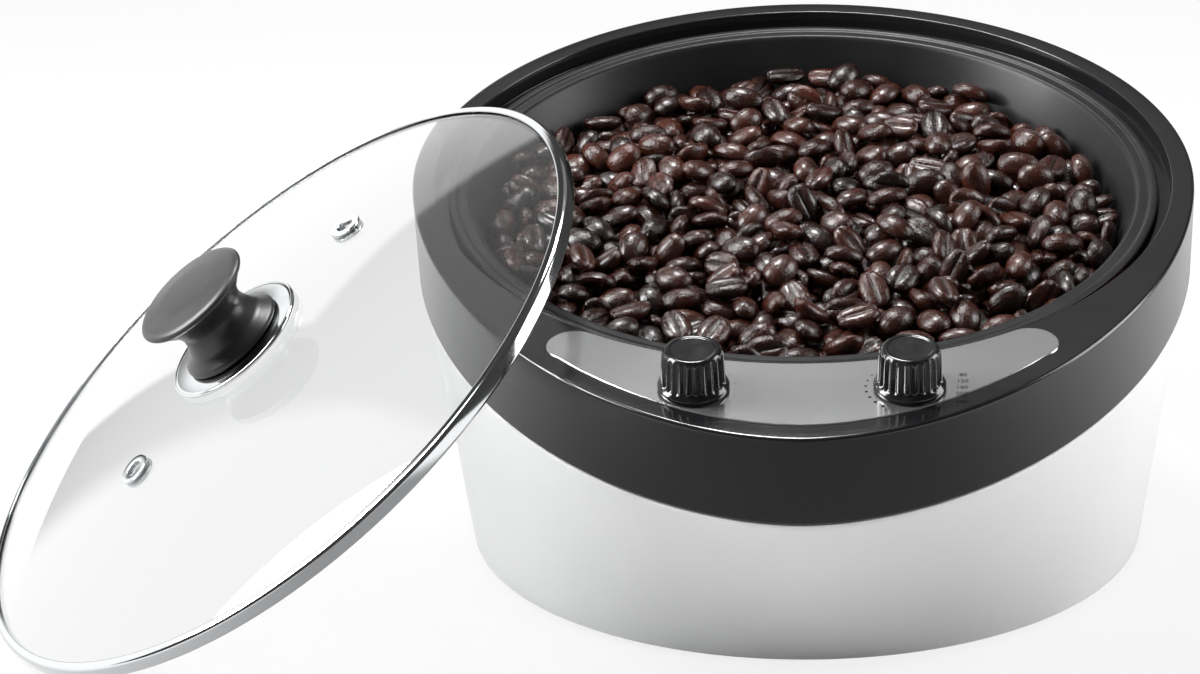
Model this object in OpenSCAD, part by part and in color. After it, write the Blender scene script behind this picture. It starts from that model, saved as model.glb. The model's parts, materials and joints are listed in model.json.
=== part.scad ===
// Home coffee bean roaster: a round white base, a black collar that slopes to the front,
// a stirred roasting pot with its beans, and a glass lid that leans on the collar's left side.
// Frame: origin at the centre of the base plate's underside, +Z up, the control panel faces -Y.

/* [Housing] */
// Radius of the collar round the pot
collar_r = 140; // [138:0.5:146]
// How far the collar's nose reaches in front of the pot's axis
nose_reach = 179; // [172:1:186]
// Fullness of the nose's outline (2 is an ellipse)
nose_power = 1.83; // [1.7:0.01:2]
// Height of the collar's side band
band_h = 33; // [31:0.5:36]
// Wall thickness of the collar
collar_wall = 3; // [2.5:0.1:4]
// Slope of the deck towards the front, in degrees
deck_tilt = 11; // [9:0.5:12]
// Height of the deck on the pot's axis, above the base plate's underside
deck_h = 136; // [133:1:145]
// Radius of the base shell at its bottom edge
base_r = 124; // [121:0.5:128]
// Wall thickness of the base shell
shell_wall = 2.6; // [2:0.1:3.2]
// Height of the bead at the shell's upper edge
bead_h = 2.2; // [1.5:0.1:3]
// Thickness of the bottom plate
plate_t = 3; // [2.5:0.1:4]
// Height of the rubber feet below the plate
foot_h = 2.5; // [2:0.1:5]
// Radius of a rubber foot
foot_r = 8.5; // [7:0.1:9]
// Radius of the circle that the feet stand on
foot_circle_r = 111; // [105:0.5:112]

/* [Pot] */
// Radius of the recess in the collar that takes the lid's rim
recess_r = 132; // [131.5:0.1:133]
// Outer radius of the pot's flange
flange_r = 127.4; // [126.5:0.1:128]
// Inner radius of the pot at its flange
pot_r = 119.2; // [117:0.1:119.8]
// Inner radius of the pot at its floor
pot_floor_r = 104; // [100:0.5:106]
// Depth of the pot's inside below the flange
pot_depth = 58; // [54:1:60]
// Wall thickness of the pot
pot_wall = 1.5; // [1.2:0.1:2]
// Depth of the flange's top below the deck
flange_drop = 4; // [3:0.1:5]
// Thickness of the gasket under the flange
gasket_t = 1.2; // [0.8:0.1:1.6]
// Depth of the bean surface below the deck
bean_drop = 11; // [8:0.5:14]
// Thickness of the heat shield's sheet
shield_t = 1.2; // [0.8:0.1:1.5]
// Air gap between the pot's floor and the heat shield's floor
shield_gap = 20; // [18:0.5:21]
// Radius of the heating ring
heater_r = 74; // [66:0.5:82]
// Radius of the heating element's tube
element_r = 3.3; // [2.8:0.1:3.6]

/* [Stirrer] */
// Radius of the drive shaft
shaft_r = 4; // [3:0.1:5]
// Length of the stirrer's long arm from the axis
arm_reach = 96; // [80:1:98]
// Length of the stirrer's short arm from the axis
short_reach = 58; // [40:1:70]
// Width of an arm
arm_w = 9; // [7:0.5:12]
// Thickness of an arm
arm_t = 4; // [3:0.5:5]
// Height of the arm's underside above the pot's floor
arm_lift = 17; // [14:0.5:18]
// Gear module
gear_module = 1; // [1:0.05:1.1]
// Teeth of the output gear
gear_teeth = 40; // [36:4:40]
// Teeth of the motor pinion
pinion_teeth = 16; // [16:1:18]
// Width of the output gear
gear_w = 5; // [4:0.5:6]
// Radius of the motor can
motor_r = 17; // [15:0.5:19]
// Length of the motor can
motor_len = 22; // [18:0.5:24]

/* [Controls] */
// Distance of each knob from the centre line
knob_x = 35; // [33:0.5:38]
// Distance of the knobs in front of the pot's axis
knob_y = 148.5; // [147:0.5:151]
// Height of a knob above the panel
knob_h = 15; // [13:0.5:18]
// Radius of a knob's cap
knob_r = 10; // [9:0.1:11]
// Radius of a knob's skirt
skirt_r = 11.8; // [11.2:0.1:13]
// Number of flutes round a knob
flute_count = 24; // [16:2:30]
// Radius of a control spindle
spindle_r = 3; // [2.5:0.1:3.2]
// Thickness of the panel plate
panel_t = 1.2; // [1:0.1:2]
// Half angle of the panel's arc
panel_half_angle = 32; // [29:0.5:33]
// Width of the black margin in front of the panel
panel_margin = 8; // [7:0.1:11]

/* [Lid] */
// Outer radius of the lid's steel rim
lid_r = 131; // [130:0.1:131.3]
// Height of the steel rim
rim_h = 5.2; // [5:0.1:7]
// Depth of the steel rim's channel from its outer edge
rim_grip = 3.4; // [2.8:0.1:6]
// Thickness of the glass
glass_t = 4; // [3:0.1:4.2]
// Rise of the glass dome at its centre
dome_rise = 20; // [15:0.5:24]
// Radius of the polished plate under the knob
knob_plate_r = 27; // [24:0.5:30]
// Height of the lid's knob above its plate
lid_knob_h = 26; // [20:0.5:32]
// Radius of the lid knob's flared top
lid_knob_r = 22; // [19:0.5:24]
// Radius of the lid knob's waist
lid_waist_r = 13; // [11:0.5:15]
// Distance of the vent eyelets from the lid's centre
eyelet_place = 57; // [45:1:70]
// Angle of the vent eyelets from the lid's steepest line, in degrees
eyelet_turn = 15; // [0:1:90]
// Radius of a vent hole
vent_r = 3; // [2:0.1:3.5]
// Direction in which the leaning lid faces, in degrees from +X
lean_azimuth = 203; // [200:0.5:206]
// Angle of the leaning lid from level, in degrees
lean_angle = 37.6; // [36:0.1:42]
// Sideways place of the leaning lid along its own level line
lean_shift = -15; // [-25:0.5:-5]

/* [Power inlet] */
// Radius of the cable gland's bore
gland_bore_r = 3.6; // [3:0.1:4.2]
// Height of the gland's axis above the plate's underside
gland_z = 22; // [20:0.5:28]

/* [Hidden] */
$fn = 96;

// Clearances
fit = 0.3; // between loosely fitted solids
running = 0.05; // radial, shaft in its bush
snug = 0.02; // radial, hub on its shaft

// Deck levels, in the deck's own tilted frame (zero is the deck's top)
flange_z = -flange_drop;
gasket_z = flange_z - pot_wall;
recess_z = gasket_z - gasket_t;
ledge_t = 3.8;
ledge_z = recess_z - ledge_t;
pot_floor_z = flange_z - pot_depth;
shield_z = pot_floor_z - pot_wall - shield_gap;
arm_z = pot_floor_z + arm_lift;
hub_h = 12;
arm_top_z = arm_z + arm_t;
hub_top_z = arm_z + hub_h;
nut_h = 6;
well_r = 10.5;
well_top_z = arm_z - 1;
bean_bottom_z = arm_top_z + fit;
bean_top_z = -bean_drop;
pot_bend_r = 10;
deck_t = 3.2;
pot_hole_r = pot_r + pot_wall + 0.6;
chamfer = 1.4;

// The drive, below the heat shield
cover_t = 2;
cover_z = shield_z - shield_t - cover_t;
gear_play = 0.8;
gear_top_z = cover_z - gear_play;
gear_z = gear_top_z - gear_w;
case_floor_t = 2;
case_z = gear_z - gear_play - case_floor_t;
gear_pitch_r = gear_module * gear_teeth / 2;
pinion_pitch_r = gear_module * pinion_teeth / 2;
drive_centres = gear_pitch_r + pinion_pitch_r;
case_wall = 2.4;
case_play = 1.6;
rotor_r = 2;
bush_r = shaft_r + 2;
shaft_bottom_z = case_z - 1.5;

// Screws and bosses
screw_r = 1.5;
screw_head_r = 2.8;
screw_head_h = 2;
pillar_r = 4.6;
pillar_place = collar_r - 10.4;
pillar_angles = [38, 142, 214, 326];
shield_screw_angles = [0, 90, 180, 270];
boss_r = 4.6;
boss_h = 14;
boss_place = base_r - 11;
plate_screw_angles = [0, 62, 118, 180, 270];
foot_angles = [55, 125, 236, 304];
foot_screw_r = 2;

// Cable gland, with its places along its own axis
gland_y = base_r + 2.2;
gland_body_r = gland_bore_r + 2.4;
gland_flange_r = 9;
gland_face_y = gland_y + 1.2;
gland_boss_y = base_r - 12;
gland_nut_t = 4;

// Shell
shell_inset = 1.6;
bead_inset = 0.6;
shell_top_z = -band_h - fit;
lip_h = 6;
lip_t = 1.8;

// Controls
pocket = 0.8;
panel_z = -pocket;
panel_top_z = panel_z + panel_t;
panel_inner_r = recess_r + 1;
panel_end_r = 9.5;
nose_bush_r = 4.6;
nose_hole_r = nose_bush_r + fit;
body_gap = 0.2;
nut_t = 2;
knob_gap = 0.6;
knob_z = panel_top_z + knob_gap;
spindle_top_z = knob_z + knob_h - 4;
timer_size = [36, 19, 22];
timer_front = 8.5;
thermostat_r = 13.5;
thermostat_h = 18;

// Lid levels, in the lid's own frame (zero is the middle of its rim)
glass_edge_r = lid_r - 1.2;
dome_r = (glass_edge_r * glass_edge_r + dome_rise * dome_rise) / (2 * dome_rise);
crown_z = dome_rise + glass_t / 2;
knob_plate_t = 1.4;
washer_t = 1.2;
washer_gap = 0.08;
lid_knob_z = crown_z + knob_plate_t;
lid_screw_r = 2.4;

// Outline of the collar: a half circle at the back and a fuller, longer nose at the front
function side(v, power) = sign(v) * pow(abs(v), 2 / power);
function outline(inset, count = 112) = [for (i = [0:count - 1])
    let (a = 360 * i / count, c = cos(a), s = sin(a))
    s >= 0 ? [(collar_r - inset) * c, (collar_r - inset) * s]
        : [(collar_r - inset) * side(c, nose_power), (nose_reach - inset) * side(s, nose_power)]];

// Distance from the axis to the outline, at an angle from the front
function nose_at(angle, inset) = let (s = abs(sin(angle)) / (collar_r - inset),
    c = cos(angle) / (nose_reach - inset))
    1 / pow(pow(s, nose_power) + pow(c, nose_power), 1 / nose_power);

function unit(v) = v / norm(v);

function front_point(angle, r) = [r * sin(angle), -r * cos(angle)];

// Height of the dome's middle surface at a distance from the lid's centre
function dome_z(r) = sqrt(dome_r * dome_r - r * r) - dome_r + dome_rise;

function tooth(teeth, i, r, half) = let (a = 360 * i / teeth)
    [r * cos(a + half), r * sin(a + half)];

// Height of the lid's underside at a distance from its centre
function underside(r) = r < lid_r - rim_grip ? dome_z(r) - glass_t / 2 : -rim_h / 2;

function deck_point(p, z) = [p[0], cos(deck_tilt) * p[1] - sin(deck_tilt) * z,
    deck_h + sin(deck_tilt) * p[1] + cos(deck_tilt) * z];

// The leaning lid: its rim stands just over the table, and its underside clears the
// collar's upper left edge by the fit, so its place follows from the sizes
lid_normal = [sin(lean_angle) * cos(lean_azimuth), sin(lean_angle) * sin(lean_azimuth),
    cos(lean_angle)];
lid_z = -foot_h + fit + lid_r * sin(lean_angle) + rim_h / 2 * cos(lean_angle);
edge_points = [for (p = outline(chamfer, 900)) if (p[0] < 0) deck_point(p, 0),
    for (p = outline(0, 900)) if (p[0] < 0) deck_point(p, -chamfer)];
function lid_at(out) = out * [cos(lean_azimuth), sin(lean_azimuth), 0]
    + lean_shift * [-sin(lean_azimuth), cos(lean_azimuth), 0] + [0, 0, lid_z];
function lid_gap(out) = min([for (p = edge_points) let (q = p - lid_at(out), z = q * lid_normal,
    r = sqrt(max(0, q * q - z * z))) r < lid_r ? underside(r) - z : lid_r]);
function lean_out(near, far, steps) = steps == 0 ? far : let (mid = (near + far) / 2)
    lid_gap(mid) < fit ? lean_out(mid, far, steps - 1) : lean_out(near, mid, steps - 1);
lid_place = lid_at(lean_out(collar_r, collar_r + lid_r, 20));

module deck() {
    translate([0, 0, deck_h]) rotate([deck_tilt, 0, 0]) children();
}

module lid_frame() {
    translate(lid_place) rotate([0, lean_angle, lean_azimuth]) children();
}

module around(angles, r) {
    for (a = angles) rotate([0, 0, a]) translate([r, 0, 0]) children();
}

module gland_frame() {
    translate([0, 0, gland_z]) rotate([-90, 0, 0]) children();
}

module at_knobs() {
    for (x = [-knob_x, knob_x]) translate([x, -knob_y, 0]) children();
}

module slab(inset, z, h) {
    translate([0, 0, z]) linear_extrude(h) polygon(outline(inset));
}

module tube(outer, inner, z, h) {
    translate([0, 0, z]) difference() {
        cylinder(r = outer, h = h);
        translate([0, 0, -1]) cylinder(r = inner, h = h + 2);
    }
}

// A screw that points up, with its head below
module screw(r, head_r, head_h, length) {
    cylinder(r = r, h = length, $fn = 32);
    difference() {
        translate([0, 0, -head_h]) cylinder(r = head_r, h = head_h, $fn = 32);
        translate([0, 0, -head_h - 0.1]) linear_extrude(0.9) {
            square([head_r * 1.2, 0.7], center = true);
            square([0.7, head_r * 1.2], center = true);
        }
    }
}

// A wire or tube through points, round at each bend
module run(points, r) {
    for (i = [0:len(points) - 2]) {
        d = points[i + 1] - points[i];
        length = norm(d);
        translate(points[i]) rotate([0, acos(d[2] / length), atan2(d[1], d[0])])
            cylinder(r = r, h = length, $fn = 24);
        if (i > 0) translate(points[i]) sphere(r = r * 1.08, $fn = 24);
    }
}

// A faceted wire through points, for routes whose bends are slight
module wire(points, r) {
    sides = 8;
    count = len(points);
    rings = [for (i = [0:count - 1]) let (
        along = unit(points[min(i + 1, count - 1)] - points[max(i - 1, 0)]),
        across = unit(cross(along, [1, 0, 0])), up = cross(along, across))
        each [for (k = [0:sides - 1]) points[i]
            + r * (cos(360 * k / sides) * across + sin(360 * k / sides) * up)]];
    polyhedron(rings, concat([[for (k = [0:sides - 1]) k]],
        [for (i = [0:count - 2], k = [0:sides - 1]) let (a = i * sides, b = (k + 1) % sides)
            each [[a + k, a + sides + b, a + b], [a + k, a + sides + k, a + sides + b]]],
        [[for (k = [sides - 1:-1:0]) (count - 1) * sides + k]]));
}

module spur(teeth, width, bore_r) {
    pitch = gear_module * teeth / 2;
    root = pitch - 1.25 * gear_module;
    tip = pitch + 0.85 * gear_module;
    step = 360 / teeth;
    linear_extrude(width) difference() {
        polygon([for (i = [0:teeth - 1]) each [tooth(teeth, i, root, -step * 0.34),
            tooth(teeth, i, pitch, -step * 0.215), tooth(teeth, i, tip, -step * 0.1),
            tooth(teeth, i, tip, step * 0.1), tooth(teeth, i, pitch, step * 0.215),
            tooth(teeth, i, root, step * 0.34)]]);
        circle(r = bore_r);
    }
}

module shell_solid(inset, bottom_z) {
    hull() {
        translate([0, 0, bottom_z]) cylinder(r = base_r - inset, h = 0.5);
        deck() slab(shell_inset + inset, shell_top_z - 0.5, 0.5 + (inset > 0 ? 1 : 0));
    }
}

module base_shell() {
    color("white") difference() {
        union() {
            difference() {
                shell_solid(0, 0);
                shell_solid(shell_wall, -0.01);
            }
            deck() difference() {
                slab(bead_inset, shell_top_z - bead_h, bead_h);
                slab(shell_inset + shell_wall - 0.2, shell_top_z - bead_h - 1, bead_h + 2);
            }
            deck() difference() {
                slab(collar_wall + fit, shell_top_z - 3, lip_h + 3);
                slab(collar_wall + fit + lip_t, shell_top_z - 4, lip_h + 5);
            }
            intersection() {
                union() {
                    around(plate_screw_angles, boss_place) {
                        translate([0, 0, plate_t]) cylinder(r = boss_r, h = boss_h, $fn = 48);
                        translate([0, -1.5, plate_t]) cube([base_r - boss_place + 6, 3, boss_h]);
                    }
                    deck() around(pillar_angles, pillar_place) {
                        translate([0, 0, shell_top_z - boss_h])
                            cylinder(r = pillar_r, h = boss_h, $fn = 48);
                        translate([0, -1.5, shell_top_z - boss_h]) cube([12, 3, boss_h - 1]);
                    }
                    gland_frame() translate([0, 0, gland_boss_y])
                        cylinder(r = gland_flange_r + 2, h = 30);
                }
                shell_solid(0.4, 0);
            }
        }
        gland_frame() {
            translate([0, 0, gland_boss_y - 12]) cylinder(r = gland_body_r + fit, h = 60);
            translate([0, 0, gland_face_y]) cylinder(r = gland_flange_r + fit, h = 60);
        }
        around(plate_screw_angles, boss_place) translate([0, 0, -1])
            cylinder(r = screw_r + 0.1, h = boss_h, $fn = 48);
        deck() around(pillar_angles, pillar_place) translate([0, 0, shell_top_z - boss_h - 1])
            cylinder(r = screw_r + 0.2, h = boss_h + 2, $fn = 48);
        deck() around(pillar_angles, pillar_place)
            translate([0, 0, shell_top_z - boss_h - screw_head_h - 1.5])
                cylinder(r = screw_head_r + 0.2, h = screw_head_h + 1.5, $fn = 48);
    }
}

module panel_shape(grow) {
    steps = 24;
    inner = panel_inner_r - grow;
    end_r = panel_end_r + grow;
    end_place = (panel_inner_r + nose_at(panel_half_angle, panel_margin)) / 2;
    polygon(concat(
        [for (i = [0:steps]) let (a = panel_half_angle * (2 * i / steps - 1))
            front_point(a, nose_at(a, panel_margin - grow) - edge_ease(a))],
        [for (i = [steps:-1:0]) let (a = panel_half_angle * (2 * i / steps - 1))
            front_point(a, inner + edge_ease(a))]));
    for (a = [-panel_half_angle, panel_half_angle])
        translate(front_point(a, end_place)) circle(r = end_r, $fn = 48);
}

// The panel narrows a little towards its ends, so that it meets the round end
function edge_ease(a) = let (half = (nose_at(panel_half_angle, panel_margin) - panel_inner_r) / 2)
    max(0, half - panel_end_r) * pow(abs(a) / panel_half_angle, 4);

module collar_ring() {
    color([0.12, 0.12, 0.125]) deck() difference() {
        union() {
            difference() {
                union() {
                    slab(0, -band_h, band_h - chamfer);
                    hull() {
                        slab(0, -chamfer - 0.1, 0.1);
                        slab(chamfer, -0.1, 0.1);
                    }
                }
                difference() {
                    slab(collar_wall, -band_h - 1, band_h + 1 - deck_t);
                    translate([0, 0, ledge_z])
                        cylinder(r = collar_r - collar_wall + 0.6, h = -ledge_z);
                }
            }
            around(pillar_angles, pillar_place) translate([0, 0, -band_h])
                cylinder(r = pillar_r, h = band_h + ledge_z + 0.5, $fn = 48);
        }
        translate([0, 0, ledge_z - 1]) cylinder(r = pot_hole_r, h = 20);
        translate([0, 0, recess_z]) cylinder(r = recess_r, h = 20);
        translate([0, 0, panel_z]) linear_extrude(5) panel_shape(0);
        at_knobs() translate([0, 0, -20]) cylinder(r = nose_hole_r, h = 30, $fn = 48);
        around(pillar_angles, pillar_place) translate([0, 0, -band_h - 1])
            cylinder(r = screw_r + 0.05, h = 14, $fn = 48);
        around(shield_screw_angles, pillar_place) translate([0, 0, ledge_z - 1])
            cylinder(r = screw_r + 0.05, h = 3.5, $fn = 48);
    }
}

module control_panel() {
    color([0.62, 0.63, 0.65]) deck() difference() {
        translate([0, 0, panel_z]) linear_extrude(panel_t) panel_shape(-0.15);
        at_knobs() translate([0, 0, -10]) cylinder(r = nose_hole_r, h = 20, $fn = 48);
    }
}

module bottom_plate() {
    slot_w = 3;
    color([0.2, 0.2, 0.21]) difference() {
        cylinder(r = base_r - shell_wall - fit, h = plate_t);
        around(plate_screw_angles, boss_place) translate([0, 0, -1])
            cylinder(r = screw_r + 0.2, h = plate_t + 2, $fn = 48);
        around(foot_angles, foot_circle_r) translate([0, 0, -1])
            cylinder(r = foot_screw_r + 0.2, h = plate_t + 2, $fn = 48);
        for (row = [-4:4]) translate([-24, row * 8 - slot_w / 2 - 30, -1])
            cube([48, slot_w, plate_t + 2]);
    }
}

module plate_screws() {
    color("silver") around(plate_screw_angles, boss_place)
        screw(screw_r, screw_head_r, screw_head_h, boss_h - 3);
}

module rubber_feet() {
    color([0.08, 0.08, 0.08]) around(foot_angles, foot_circle_r) difference() {
        translate([0, 0, -foot_h]) cylinder(r1 = foot_r - 0.8, r2 = foot_r, h = foot_h);
        translate([0, 0, -foot_h - 1]) cylinder(r = foot_screw_r + 0.2, h = foot_h + 2, $fn = 48);
        translate([0, 0, -foot_h - 1]) cylinder(r = 4.4, h = 2.4, $fn = 48);
    }
}

module foot_screws() {
    color("silver") around(foot_angles, foot_circle_r) {
        translate([0, 0, -foot_h + 1.4]) screw(foot_screw_r, 3.8, 1.2, foot_h - 1.4 + plate_t + 4.5);
        tube(3.8, foot_screw_r + 0.05, plate_t, 3.2, $fn = 6);
    }
}

module collar_screws() {
    color("silver") deck() around(pillar_angles, pillar_place)
        translate([0, 0, shell_top_z - boss_h])
            screw(screw_r, screw_head_r, screw_head_h, boss_h + fit + 11);
}

// Profile points of the pot's inside, from the flange down to the floor
function pot_side(offset) = concat([[pot_r + offset, flange_z]],
    [for (i = [0:8]) let (a = 90 * i / 8)
        [pot_floor_r + pot_lean + (pot_bend_r + offset) * cos(a) - pot_bend_r,
            pot_floor_z + pot_bend_r - (pot_bend_r + offset) * sin(a)]]);
pot_lean = (pot_r - pot_floor_r) * pot_bend_r / pot_depth;

module roasting_pot() {
    color([0.1, 0.1, 0.1]) deck() difference() {
        rotate_extrude() polygon(concat(
            [[flange_r, flange_z], [pot_r, flange_z]],
            pot_side(0),
            [[well_r, pot_floor_z], [well_r - 1.5, well_top_z], [bush_r, well_top_z],
                [bush_r, pot_floor_z - pot_wall - 3], [bush_r + 4, pot_floor_z - pot_wall - 3],
                [bush_r + 4, pot_floor_z - pot_wall]],
            [for (i = [9:-1:1]) pot_side(pot_wall)[i]],
            [[pot_r + pot_wall, gasket_z], [flange_r, gasket_z]]));
    }
}

module pot_gasket() {
    color([0.55, 0.16, 0.1]) deck() tube(flange_r - 1, pot_hole_r + 0.4, recess_z, gasket_t);
}

shield_flange_r = recess_r + 1.5;
shield_top_r = pot_hole_r + 1.6;
shield_floor_r = pot_floor_r + 3;

module heat_shield() {
    floor_z = shield_z;
    color([0.72, 0.73, 0.74]) deck() difference() {
        rotate_extrude() polygon([[shield_flange_r, ledge_z], [shield_top_r, ledge_z],
            [shield_top_r - 2, ledge_z - 6], [shield_floor_r, floor_z], [bush_r + 8, floor_z],
            [bush_r + 8, floor_z - shield_t], [shield_floor_r + shield_t, floor_z - shield_t],
            [shield_top_r - 2 + shield_t, ledge_z - 6], [shield_top_r + shield_t, ledge_z - shield_t],
            [shield_flange_r, ledge_z - shield_t]]);
        around(pillar_angles, pillar_place) translate([0, 0, ledge_z - 5])
            cylinder(r = pillar_r + 0.5, h = 10, $fn = 48);
        around(shield_screw_angles, pillar_place) translate([0, 0, ledge_z - 5])
            cylinder(r = screw_r + 0.2, h = 10, $fn = 48);
        around(leg_angles, heater_r) translate([0, 0, floor_z - 5])
            cylinder(r = bush_hole_r, h = 10, $fn = 48);
        rotate([0, 0, bulb_angle]) translate([bulb_r, 0, floor_z - 5])
            cylinder(r = 3, h = 10, $fn = 48);
        around(case_screw_angles, case_screw_place) translate([0, 0, floor_z - 5])
            cylinder(r = screw_r + 0.05, h = 10, $fn = 48);
    }
}

leg_angles = [78, 102];
bush_hole_r = 5.2;
bulb_angle = 300;
bulb_r = 44;
case_screw_angles = [45, 135, 225, 315];
case_screw_place = gear_pitch_r + gear_module + case_play + case_wall + 2;

module shield_screws() {
    color("silver") deck() around(shield_screw_angles, pillar_place)
        translate([0, 0, ledge_z - shield_t]) screw(screw_r, screw_head_r, screw_head_h, shield_t + 2.2);
}

heater_z = pot_floor_z - pot_wall - element_r - 1.2;

module heater_ring() {
    color([0.35, 0.33, 0.32]) deck() {
        difference() {
            translate([0, 0, heater_z]) rotate_extrude() translate([heater_r, 0])
                circle(r = element_r, $fn = 32);
            translate([0, 0, heater_z - 10]) linear_extrude(20) polygon([[0, 0],
                for (a = leg_angles) [2 * heater_r * cos(a), 2 * heater_r * sin(a)]]);
        }
        around(leg_angles, heater_r) {
            translate([0, 0, heater_z]) sphere(r = element_r + 0.3, $fn = 32);
            translate([0, 0, shield_z - 10]) cylinder(r = element_r, h = heater_z - shield_z + 10,
                $fn = 32);
            translate([0, 0, shield_z - 16]) cylinder(r = 1.2, h = 8, $fn = 32);
        }
    }
}

clamp_angles = [0, 180, 270];

module heater_clamps() {
    post_h = heater_z - element_r - shield_z - 0.05;
    color("silver") deck() around(clamp_angles, heater_r) difference() {
        union() {
            translate([-3, -4, shield_z]) cube([6, 8, post_h]);
            translate([-9, -4, shield_z]) cube([18, 8, 1]);
            for (side = [-1, 1]) translate([side * (element_r + 0.8) - 0.7, -4, shield_z])
                cube([1.4, 8, post_h + element_r * 1.6]);
        }
        translate([0, 5, heater_z]) rotate([90, 0, 0]) cylinder(r = element_r + 0.1, h = 10, $fn = 48);
    }
}

module heater_bushes() {
    color([0.93, 0.91, 0.86]) deck() around(leg_angles, heater_r) {
        tube(bush_hole_r - 0.1, element_r + 0.05, shield_z - shield_t - 2, 6);
        tube(bush_hole_r + 2, element_r + 0.05, shield_z, 2.5);
    }
}

module thermal_fuse() {
    fuse_z = shield_z - shield_t - 3.2;
    color([0.85, 0.8, 0.6]) deck() rotate([0, 0, 150]) translate([62, 0, fuse_z]) {
        rotate([90, 0, 0]) translate([0, 0, -11]) cylinder(r = 2.6, h = 22, $fn = 32);
        translate([-3.4, -4, 0]) cube([6.8, 8, 3.2]);
        for (end = [-1, 1]) rotate([90, 0, 0]) translate([0, 0, end * 13.5 - 3.5])
            cylinder(r = 0.7, h = 7, $fn = 16);
    }
}

// Route of the thermostat's capillary tube, round numbers in the deck's frame
capillary = [[35, -144, -28], [35, -144, -40], [40, -132, -66], [36, -100, -98], [22, -38.1, -98],
    [22, -38.1, -80]];

module sensor_bulb() {
    place = [bulb_r * cos(bulb_angle), bulb_r * sin(bulb_angle)];
    bulb_z = heater_z - 1.5;
    color([0.72, 0.45, 0.3]) deck() {
        run([capillary[0], capillary[1], capillary[2], capillary[3],
            [place[0], place[1], capillary[4][2]], [place[0], place[1], bulb_z]], 1.1);
        translate([place[0], place[1], bulb_z]) rotate([0, 0, bulb_angle + 90]) {
            rotate([0, 90, 0]) translate([0, 0, -18]) cylinder(r = 2.8, h = 36, $fn = 32);
            for (end = [-1, 1]) translate([end * 12 - 2, -4.5, shield_z - bulb_z])
                cube([4, 9, bulb_z - shield_z]);
        }
    }
}

module case_outline(grow) {
    circle(r = gear_pitch_r + gear_module + case_play + grow);
    translate([drive_centres, 0]) circle(r = pinion_pitch_r + gear_module + case_play + grow);
    translate([0, -pinion_pitch_r - grow]) square([drive_centres, 2 * (pinion_pitch_r + grow)]);
}

module gear_case() {
    color([0.8, 0.81, 0.82]) deck() difference() {
        union() {
            translate([0, 0, case_z]) linear_extrude(cover_z - case_z) case_outline(case_wall);
            around(case_screw_angles, case_screw_place) translate([0, 0, case_z])
                cylinder(r = 4, h = cover_z - case_z, $fn = 48);
            tube(bush_r + 2, shaft_r, case_z - 4, 5);
        }
        translate([0, 0, case_z + case_floor_t]) linear_extrude(cover_z - case_z)
            case_outline(0);
        translate([0, 0, case_z - 10]) cylinder(r = shaft_r + running, h = 20, $fn = 64);
        translate([drive_centres, 0, case_z - 10]) cylinder(r = rotor_r + 1, h = 20, $fn = 48);
        around(case_screw_angles, case_screw_place) translate([0, 0, case_z - 5])
            cylinder(r = screw_r + 0.2, h = 30, $fn = 48);
    }
}

module case_cover() {
    color([0.7, 0.71, 0.72]) deck() translate([0, 0, cover_z]) difference() {
        union() {
            linear_extrude(cover_t) case_outline(case_wall);
            around(case_screw_angles, case_screw_place) cylinder(r = 4, h = cover_t, $fn = 48);
        }
        translate([0, 0, -1]) cylinder(r = shaft_r + running, h = 10, $fn = 64);
        around(case_screw_angles, case_screw_place) translate([0, 0, -1])
            cylinder(r = screw_r + 0.2, h = 10, $fn = 48);
    }
}

module case_screws() {
    color("silver") deck() around(case_screw_angles, case_screw_place) translate([0, 0, case_z])
        screw(screw_r, screw_head_r, screw_head_h, shield_z - case_z - 0.1);
}

module motor() {
    color([0.55, 0.56, 0.58]) deck() translate([drive_centres, 0, case_z - motor_len]) difference() {
        union() {
            cylinder(r = motor_r, h = motor_len, $fn = 64);
            translate([0, 0, -3]) cylinder(r = 5, h = 4, $fn = 48);
            for (side = [-1, 1]) translate([side * 9 - 1.5, -4, -5]) cube([3, 0.8, 6]);
        }
        translate([0, 0, motor_len - 6]) cylinder(r = rotor_r + running, h = 8, $fn = 48);
    }
}

module motor_pinion() {
    color([0.86, 0.7, 0.35]) deck() translate([drive_centres, 0, 0]) {
        translate([0, 0, gear_z]) rotate([0, 0, 180 + 180 / pinion_teeth])
            spur(pinion_teeth, gear_w, 0.5);
        translate([0, 0, case_z - 5.5]) cylinder(r = rotor_r, h = gear_z - case_z + 6, $fn = 48);
    }
}

module output_gear() {
    color([0.9, 0.88, 0.8]) deck() {
        translate([0, 0, gear_z]) spur(gear_teeth, gear_w, shaft_r + snug);
    }
}

module drive_shaft() {
    color([0.75, 0.76, 0.78]) deck() {
        translate([0, 0, shaft_bottom_z]) cylinder(r = shaft_r, h = hub_top_z - shaft_bottom_z,
            $fn = 64);
        translate([0, 0, hub_top_z - 0.5]) cylinder(r = shaft_r - 1.2, h = nut_h - 1, $fn = 48);
    }
}

module shaft_bush() {
    color([0.72, 0.55, 0.3]) deck() tube(bush_r - snug, shaft_r + running,
        pot_floor_z - pot_wall - 3, well_top_z - 2.2 - pot_floor_z + pot_wall + 3);
}

module shaft_seal() {
    color([0.15, 0.15, 0.16]) deck() tube(bush_r - snug, shaft_r + running, well_top_z - 2.1, 2.1);
}

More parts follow.
